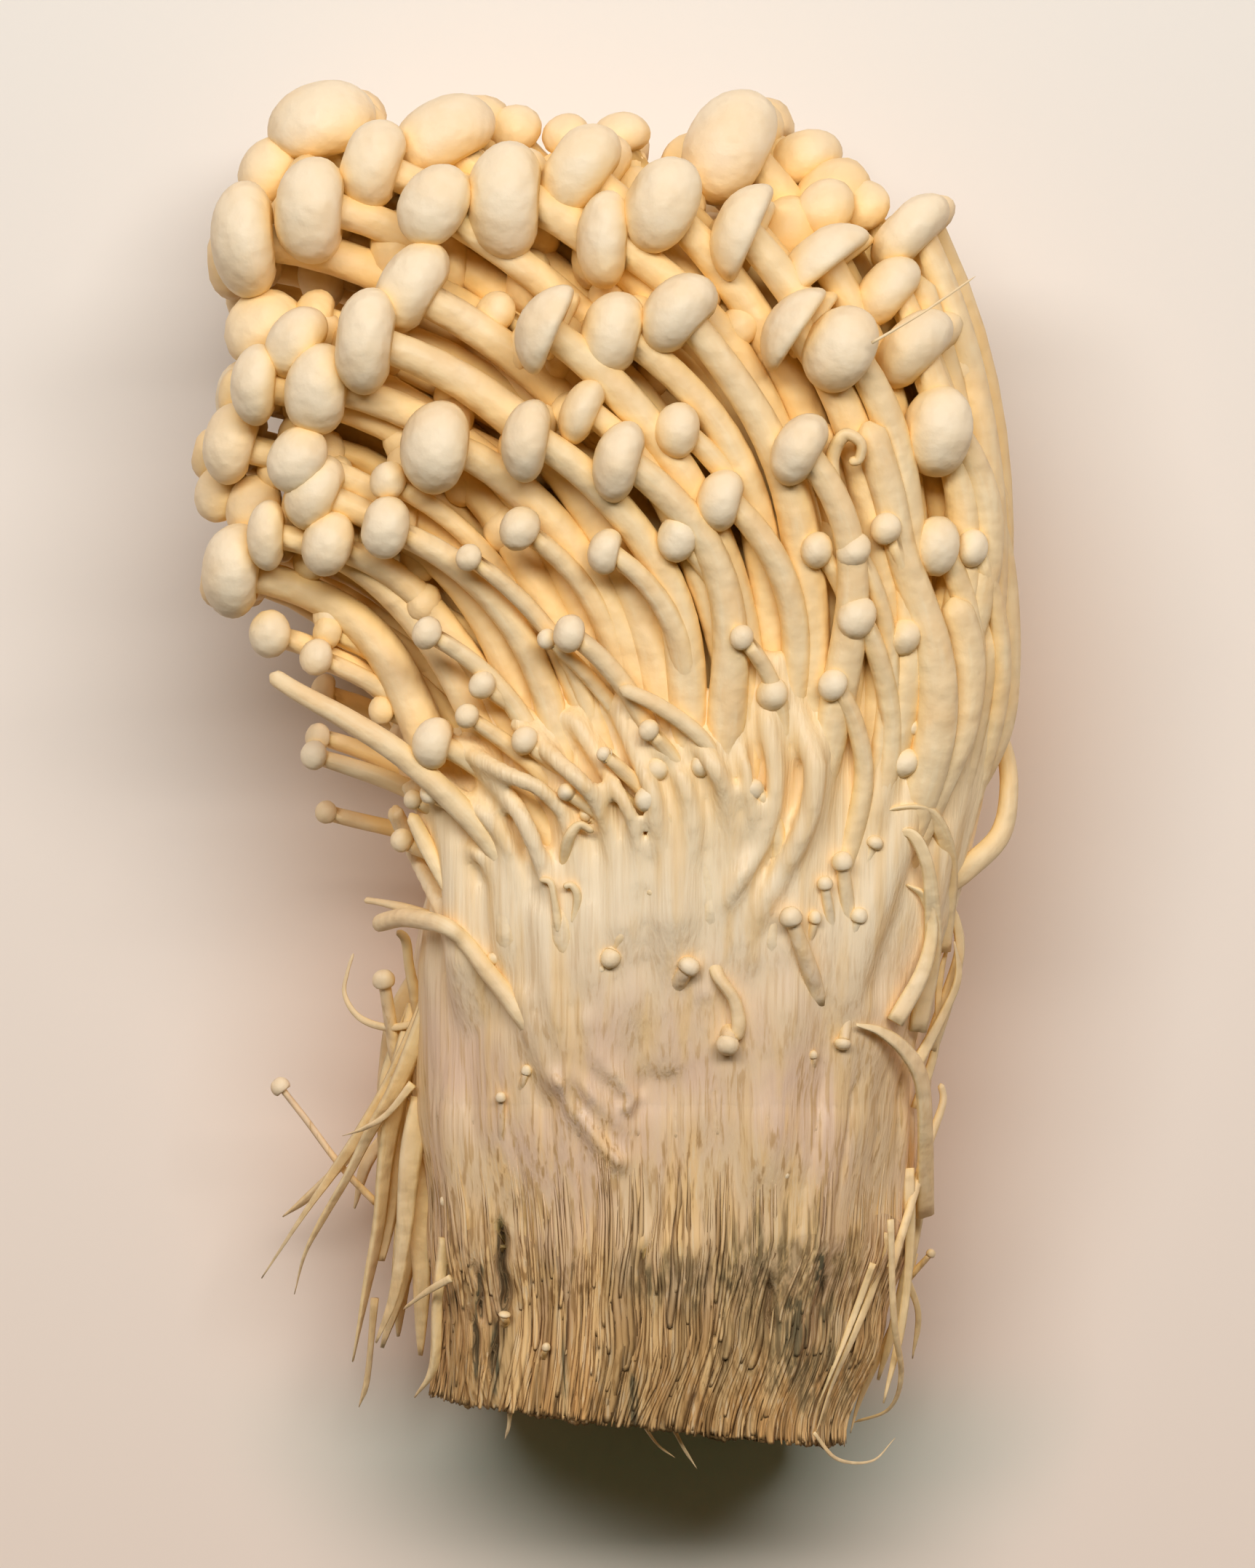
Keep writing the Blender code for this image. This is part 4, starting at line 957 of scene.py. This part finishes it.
# Each strand's width at its two ends, its thickness as a share of that, and its way in X, Y and Z.
LEFT_STRANDS = (
    (1.9, 1.9, 0.9, ((-7.4, -26.6, -2.4), (-8.4, -24.8, -1.2), (-10.4, -22.1, 0.2), (-12.4, -19.6, 1.2),
        (-14.4, -17, 1.6), (-16.3, -15.4, 39), (-18.6, -14.8, 35.5), (-21, -14.6, 31.2),
        (-23.7, -15.3, 27))),
    (1.2, 0.7, 0.8, ((-16, -15, 33), (-20.3, -13.8, 27), (-23, -13.2, 24), (-25, -12.9, 22))),
    (1.4, 0.8, 0.8, ((-19.3, -25, 22), (-20.3, -20, 25), (-20.7, -17, 26), (-21.6, -16, 26))),
    (0.9, 0.3, 0.8, ((-19, -25.3, 24), (-22.6, -25.9, 22), (-25.6, -24.9, 20), (-27.1, -22.6, 19),
        (-26.8, -20.3, 19), (-26.2, -18.4, 19))),
    (2.4, 0.6, 0.35, ((-18, -22, 24), (-19.7, -26, 24), (-22.5, -31.9, 22), (-25.4, -36.7, 20),
        (-28.2, -40.7, 18), (-31.5, -45.4, 16), (-35.8, -51.9, 13))),
    (2.4, 0.6, 0.35, ((-18, -23, 26), (-19.4, -26.6, 26), (-21.7, -31.9, 24.5), (-24.5, -36.7, 22),
        (-26.8, -41.2, 20), (-29.6, -46, 17.5), (-31.3, -49.4, 16), (-32.4, -53.5, 14))),
    (4.2, 2.6, 0.22, ((-19, -24, 21), (-21.4, -30, 20), (-22.3, -34, 19), (-22.5, -39.5, 18),
        (-22.8, -45, 17), (-23.4, -50, 16))),
    (4.4, 2, 0.2, ((-18, -30, 17), (-20.2, -36, 17), (-20.6, -44, 16), (-21.4, -52, 15), (-23.4, -59, 14))),
    (1.4, 0.9, 0.5, ((-24, -35, 12), (-26.5, -39, 11), (-31, -43.6, 9), (-33.8, -45.8, 8))),
    (1.5, 1.3, 0.6, ((-22, -36, 12), (-25, -40, 10), (-26.4, -44.9, 8))),
    (1, 0.3, 0.6, ((-20, -31.5, 27), (-22.6, -34.6, 26), (-25, -36.1, 25), (-27.2, -36.9, 24))),
    (2.8, 1.8, 0.3, ((-19.5, -24, 22), (-21.4, -31, 22), (-22.8, -38.8, 20), (-23.6, -46, 18),
        (-25, -53.2, 16), (-26.4, -60.4, 14))),
    (3, 0.9, 0.35, ((-19, -33, 25), (-20.2, -38.8, 25), (-21, -47.2, 23), (-22, -53.2, 21),
        (-23.9, -58.2, 19))),
    (3.2, 1.8, 0.35, ((-18, -38, 22), (-19.2, -44.8, 22), (-19.2, -52, 20), (-19.4, -59.6, 17))),
    (2.4, 1.6, 0.35, ((-18.5, -40, 16), (-20.5, -47, 14), (-21.5, -54, 12), (-21.8, -58, 11))),
    (0.9, 0.5, 0.6, ((-24.2, -54, 12), (-25, -62.2, 10), (-25.9, -65.4, 9))),
    (0.9, 0.3, 0.7, ((-16, -50.9, 33), (-18.5, -52.4, 31), (-20.9, -54.3, 28))),
    (2.6, 2, 0.4, ((-19, -20, 18), (-22, -25.6, 16), (-23.2, -33, 13), (-23.4, -39, 11))),
    (1.6, 1, 0.6, ((-16.5, -47, 30), (-17.4, -53, 29), (-17.8, -60, 27), (-19.8, -63.4, 25))),
)
LONE_PINS = (  # on the left: the stem's way, its width, the cap's width and thickness
    (((-24, -44, 16), (-26.5, -41.4, 17), (-28.5, -39, 17), (-31, -35.6, 17), (-33.5, -32.4, 17)), 0.8, 2.1,
        1.6),
    (((-20, -33, 18), (-21.6, -30, 20), (-22.3, -25.6, 22), (-22.9, -21.4, 24)), 1.5, 2.4, 1.8),
)
HOOKS = (  # on the front: bent stubs, and single stems without a cap
    (1.5, 0.9, 0.8, ((-4.4, -10.5, 40.5), (-4.4, -8, 42.6), (-3.9, -6.2, 43.8), (-2.9, -5.2, 44),
        (-1.6, -5.9, 43.8))),
    (0.9, 0.6, 0.9, ((-5, -16, 42), (-5.5, -12.6, 42.8), (-5.9, -10.9, 43.2), (-7, -10.6, 43))),
    (0.9, 0.7, 0.9, ((-3.6, -15, 42), (-3.2, -12.4, 42.8), (-3.8, -11.2, 43.2), (-4.6, -11.4, 43))),
    (1.7, 0.8, 0.8, ((6.8, -17.4, -1.8), (6.8, -15.4, -0.5), (6.5, -13.8, 0), (5.2, -12.3, 43.4),
        (3.7, -11.7, 43.4))),
    (1.9, 1.5, 0.85, ((14.4, -11, 40), (13.2, -5, 42.4), (11.6, -0.6, 44), (9.2, 3.4, 45.5), (5, 6.6, 46.6),
        (1, 8.5, 47))),
    (2.9, 1.9, 0.9, ((-6, -17, 37), (-9, -11.5, 39), (-13, -5.6, 40), (-20, 1.2, 40.4), (-26, 5.2, 40),
        (-31, 8, 39.4), (-34, 9.9, 38.8))),
    (2.4, 1.4, 0.7, ((-9, -22, 36), (-14, -15, 36.6), (-18, -8, 36), (-20, -4, 36))),
    (1.3, 1.5, 0.9, ((10.3, -18.6, -1.6), (10.9, -20.4, -0.2), (12.4, -22.6, 0), (12.9, -25, 0),
        (12.5, -26.8, 0))),
    (0.5, 1.1, 0.9, ((-11.4, -12.8, -0.6), (-10.9, -14.6, 0), (-10.9, -17, 0), (-11.4, -18.3, 0))),
    (1.1, 1.2, 0.9, ((1.6, -14.8, -1), (1.2, -16.2, 0), (0.4, -17.8, 0))),
)
RIGHT_STRANDS = (
    (5.2, 3, 0.8, ((26, -20, 28), (31, -8, 30), (34.8, -2.4, 31), (37.4, 1.6, 31), (39, 5.6, 30.6),
        (39.5, 11, 30), (39.4, 16.4, 30), (38.9, 21.7, 30.6), (37.7, 27, 32), (36, 33, 33.6),
        (33.8, 41, 35), (31, 50, 36))),
    (5, 3.3, 0.75, ((24, -18, 35), (29, -8, 36.4), (32.2, -1.6, 37.4), (34.8, 3.6, 37.4), (35.8, 8.6, 37.4),
        (35.6, 13, 38), (34.4, 17.6, 39))),
    (4.4, 3.4, 0.8, ((26, -14, 36), (29.6, -6, 37.6), (31.9, 0.6, 38.8), (32.8, 6.4, 39.6),
        (32.4, 12, 40.4), (31, 17, 41), (29.2, 22, 42), (27.8, 28, 43), (25.6, 35, 44))),
    (2.6, 1.9, 0.9, ((29.5, -25, 30), (30.4, -17, 31), (32.2, -12.6, 31.5), (35.8, -9.8, 31),
        (39.4, -6.4, 29), (40.4, -2, 28), (40, 2.4, 26), (38, 6, 23), (36, 9, 21))),
    (2.2, 1.2, 0.5, ((31, -26, 33), (32.4, -18, 35), (32.2, -11.6, 38), (31.4, -8, 39.5), (30, -6, 40),
        (28, -6.6, 39.5))),
    (2.4, 1.3, 0.35, ((33.4, -18, 30), (34.2, -11, 33), (33.8, -7.2, 36), (32, -4.1, 38.5), (29, -3.6, 40),
        (26.5, -4.4, 40))),
    (2, 1, 0.6, ((28.6, -25, 37), (31.4, -20, 36.5), (32.4, -15.4, 36.6), (31.6, -12.4, 37.4),
        (29.8, -11.2, 38))),
    (1.8, 0.8, 0.5, ((32.4, -28, 28), (34.4, -22, 28), (35.4, -17.6, 29), (34.6, -14, 30),
        (33, -12.6, 31))),
    (1.4, 0.7, 0.5, ((30.6, -30, 31), (33.6, -24.6, 30), (35.2, -20.6, 30), (34.8, -17, 31))),
    (1.2, 0.5, 0.6, ((31, -34, 28), (33, -27.6, 28), (33.4, -21, 28.5), (34.6, -16, 29))),
    (2.4, 1.4, 0.35, ((32, -45, 24), (31.9, -37, 30), (31.4, -31, 33.5), (29.6, -27.8, 36),
        (27.1, -25.9, 38), (24.7, -25.2, 39.3))),
    (1, 0.8, 0.8, ((28.4, -50, 31), (30.4, -44, 28), (32.2, -38, 26), (33.8, -33.6, 25),
        (33.6, -31.5, 25))),
    (0.8, 0.35, 0.8, ((28.3, -45, 33), (28.7, -55, 30), (29.6, -61, 25), (28.5, -64.8, 21),
        (25, -66.4, 18))),
    (1.4, 0.8, 0.5, ((30.2, -40, 28), (30.4, -48, 27), (29.6, -56, 26), (27.8, -64, 25))),
    (1.8, 1.2, 0.5, ((31.4, -34, 22), (31.4, -44, 21), (29.6, -54, 20), (27.4, -62, 19))),
    (1, 0.5, 0.6, ((29.5, -50, 20), (31.5, -55, 18), (31, -60, 16))),
    (1.3, 0.6, 0.4, ((30.2, -46, -0.4), (29, -51, 0), (27.2, -56, 0), (25, -61, 0), (23.4, -66.5, 0))),
    (1.1, 0.5, 0.4, ((31, -49, -0.4), (29.8, -54, 0), (27.8, -59, 0), (25.6, -64, 0), (24.6, -67.5, 0))),
    (1.2, 0.5, 0.4, ((28.2, -46.5, -0.4), (26.8, -51.5, 0), (24.8, -56.5, 0), (22.6, -61.5, 0),
        (20.8, -67, 0))),
    (0.9, 0.4, 0.4, ((26.6, -49.5, -0.4), (24.8, -54.5, 0), (22.8, -59.5, 0), (21, -64, 0))),
    (1.6, 1, 0.9, ((23, 24, 44), (22.5, 28, 45), (22.2, 31.4, 45.5), (23.4, 33.6, 46), (25, 32.8, 46),
        (24.8, 31.2, 45.6), (23.8, 31, 45.4))),
    (0.3, 0.2, 0.9, ((26, 42.6, 50), (31, 45.6, 49), (36.4, 49.4, 46))),
    (0.5, 0.25, 0.6, ((6.4, -66, 32), (7.4, -68, 31.5), (8.8, -70.3, 30))),
    (0.6, 0.3, 0.6, ((-10, -64, 31), (-10.2, -66, 30), (-10.6, -67.4, 29))),
    (0.5, 0.2, 0.6, ((20.6, -66.6, 31), (23, -69.4, 29), (26.6, -69.8, 26), (29, -67.6, 24))),
    (0.4, 0.2, 0.6, ((3.2, -65.4, 32), (4.8, -67.8, 30.5), (6.6, -69.2, 30))),
)


def strand(into, wide, narrow, flat, corners, draw):
    """A stem, or where it is flat a torn strip, from its foot to its tip."""
    way = []
    for x, y, z in corners:
        if z < ON_SKIN:
            z = skin_height(x, y) + max(0.0, fold_height(x, y)) + 0.4 * wide + z
        way.append((x, y, z))
    path = smooth_way(way, 6 * len(way))
    t = np.linspace(0, 1, len(path))
    radii = (wide + (narrow - wide) * t) / 2 * (1 + 0.08 * np.sin(9 * t + draw.uniform(0, 6.3)))
    to_tip = np.linalg.norm(path - path[-1], axis=1)
    blunt = np.sqrt(1 - (1 - np.minimum(1, to_tip / narrow * 2)) ** 2)
    radii *= np.maximum(0.2, blunt) if flat >= 0.7 else np.minimum(1, 0.12 + 3.0 * (1 - t)) ** 0.6
    twist = draw.uniform(-1.2, 1.2) * t * (flat < 0.7)
    rings, _ = swept_rings(path, radii, 12, flat, twist)
    crease = 1 - 0.22 * (flat < 0.7) * np.cos(4 * math.pi * np.arange(12) / 12) ** 4
    rings = path[:, None] + (rings - path[:, None]) * crease[None, :, None]
    tints = np.zeros((len(path), 4), np.float32)
    tints[:, 2] = 0.75
    tints[:, 3] = draw.uniform(0, 1)
    rings[..., 2] = np.maximum(rings[..., 2], LEAST_HEIGHT)
    into.add(rings, tints)


loose = Growth()
draw = random.Random(31)
for group in (LEFT_STRANDS, HOOKS, RIGHT_STRANDS):
    for wide, narrow, flat, corners in group:
        strand(loose, wide, narrow, flat, corners, draw)
for corners, wide, width, thick in LONE_PINS:
    path = smooth_way(corners, 5 * len(corners))
    axis = path[-1] - path[-2]
    axis /= np.linalg.norm(axis)
    centre = path[-1] + axis * 0.3 * thick
    grow(loose, path, np.linspace(wide / 2, wide * 0.42, len(path)), centre, axis, width, thick, draw, 14)
torn = loose.piece("torn_strands")

small = Growth()
for x, y, width, thick, way, length in PINS:
    way = math.radians(way + draw.uniform(-8, 8))
    axis = np.array((math.cos(way), math.sin(way), 0.35))
    axis /= np.linalg.norm(axis)
    centre = np.array((x, y, skin_height(x, y) + max(0.0, fold_height(x, y)) + 0.5 * width))
    neck = centre - axis * thick * 0.3
    foot = neck - axis * length * (1, 1, 0)
    foot[2] = skin_height(foot[0], foot[1]) - 0.8
    lift = foot + np.array((draw.uniform(-0.8, 0.8), 0, 0)) + (neck - foot) * (0.4, 0.4, 0.55)
    path = bezier(foot, lift, neck - axis * 0.3 * length, neck, 12)
    radii = np.linspace(0.42, 0.3, 12) * width
    grow(small, path, radii, centre, axis, width, thick, draw, 12)
pins = small.piece("pins")
for piece in (torn, pins):
    piece.data.materials.append(flesh)
    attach(piece, "root")
    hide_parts("mushrooms")

# ---------------------------------------------------------------------- Surface, light and camera
# A pale matt surface, lit by one broad soft lamp beyond the caps, and seen straight from above.

floor_mesh = bpy.data.meshes.new("surface")
floor_mesh.from_pydata([(-2, -2, 0), (2, -2, 0), (2, 2, 0), (-2, 2, 0)], [], [(0, 1, 2, 3)])
floor = bpy.data.objects.new("surface", floor_mesh)
bpy.context.scene.collection.objects.link(floor)
paper, tree, shader = plain_material("pale_surface", 0.9)
# Painted shade: the surface gets darker and warmer towards low Y, away from the lamp.
y = y_in(tree)
shade = ranged(tree, y, 0.08, -0.10, smooth=False)
colour = mixed(tree, shade, (0.865, 0.81, 0.76, 1), (0.85, 0.70, 0.605, 1))
# Painted shadow: where the bunch stands close, the surface is tinted warm at its sides and dark green under
# its cut end.
painted_floor_shadow = mixed(tree, ranged(tree, y, -0.060, -0.074), (0.90, 0.65, 0.49, 1), (0.04, 0.55, 0.44, 1))
painted_floor_shadow = mixed(tree, ranged(tree, y, 0.0, 0.045), painted_floor_shadow, colour)
tree.links.new(paint_crease_light(tree, colour, painted_floor_shadow, 0.03, 1.0), shader.inputs["Base Color"])
floor_mesh.materials.append(paper)

LAMP_PLACE = (0.0, 0.45, 1.0)
DARK_ROOM, WARM_WALLS = (0.012, 0.025, 0.015, 1), (0.30, 0.19, 0.105, 1)
lamp = bpy.data.lights.new("soft_lamp", "AREA")
lamp.shape = "RECTANGLE"
lamp.size = 1.35
lamp.size_y = 0.28
lamp.energy = 13.9
lamp.color = (1.0, 0.98, 0.95)
lamp_object = bpy.data.objects.new("soft_lamp", lamp)
bpy.context.scene.collection.objects.link(lamp_object)
lamp_object.location = LAMP_PLACE
lamp_object.rotation_euler = Vector(lamp_object.location).to_track_quat("Z", "Y").to_euler()

world = bpy.data.worlds.new("room")
world.use_nodes = True
tree = world.node_tree
way = wire(tree, "ShaderNodeTexCoord").outputs["Generated"]
parts = wire(tree, "ShaderNodeSeparateXYZ", {0: way}).outputs
beside = maths(tree, "MULTIPLY_ADD", parts["Y"], 0.5, maths(tree, "ABSOLUTE", parts["X"]))
low_down = maths(tree, "MULTIPLY_ADD", parts["Z"], -0.9, beside)
room_colour = mixed(tree, ranged(tree, low_down, 0.0, 0.75), DARK_ROOM, WARM_WALLS)
background = tree.nodes["Background"]
tree.links.new(room_colour, background.inputs[0])
background.inputs[1].default_value = 1.0
bpy.context.scene.world = world
bpy.context.scene.view_settings.view_transform = "Standard"

FRAME_CENTRE, FRAME_TALL, DISTANCE = (0.0012, -0.0020, 0.030), 0.1585, 1.0
lens = bpy.data.cameras.new("camera")
lens.sensor_width = 36.0
lens.lens = 36.0 * DISTANCE / FRAME_TALL
lens.clip_end = 10.0
camera = bpy.data.objects.new("camera", lens)
bpy.context.scene.collection.objects.link(camera)
camera.location = (FRAME_CENTRE[0], FRAME_CENTRE[1], FRAME_CENTRE[2] + DISTANCE)
bpy.context.scene.camera = camera
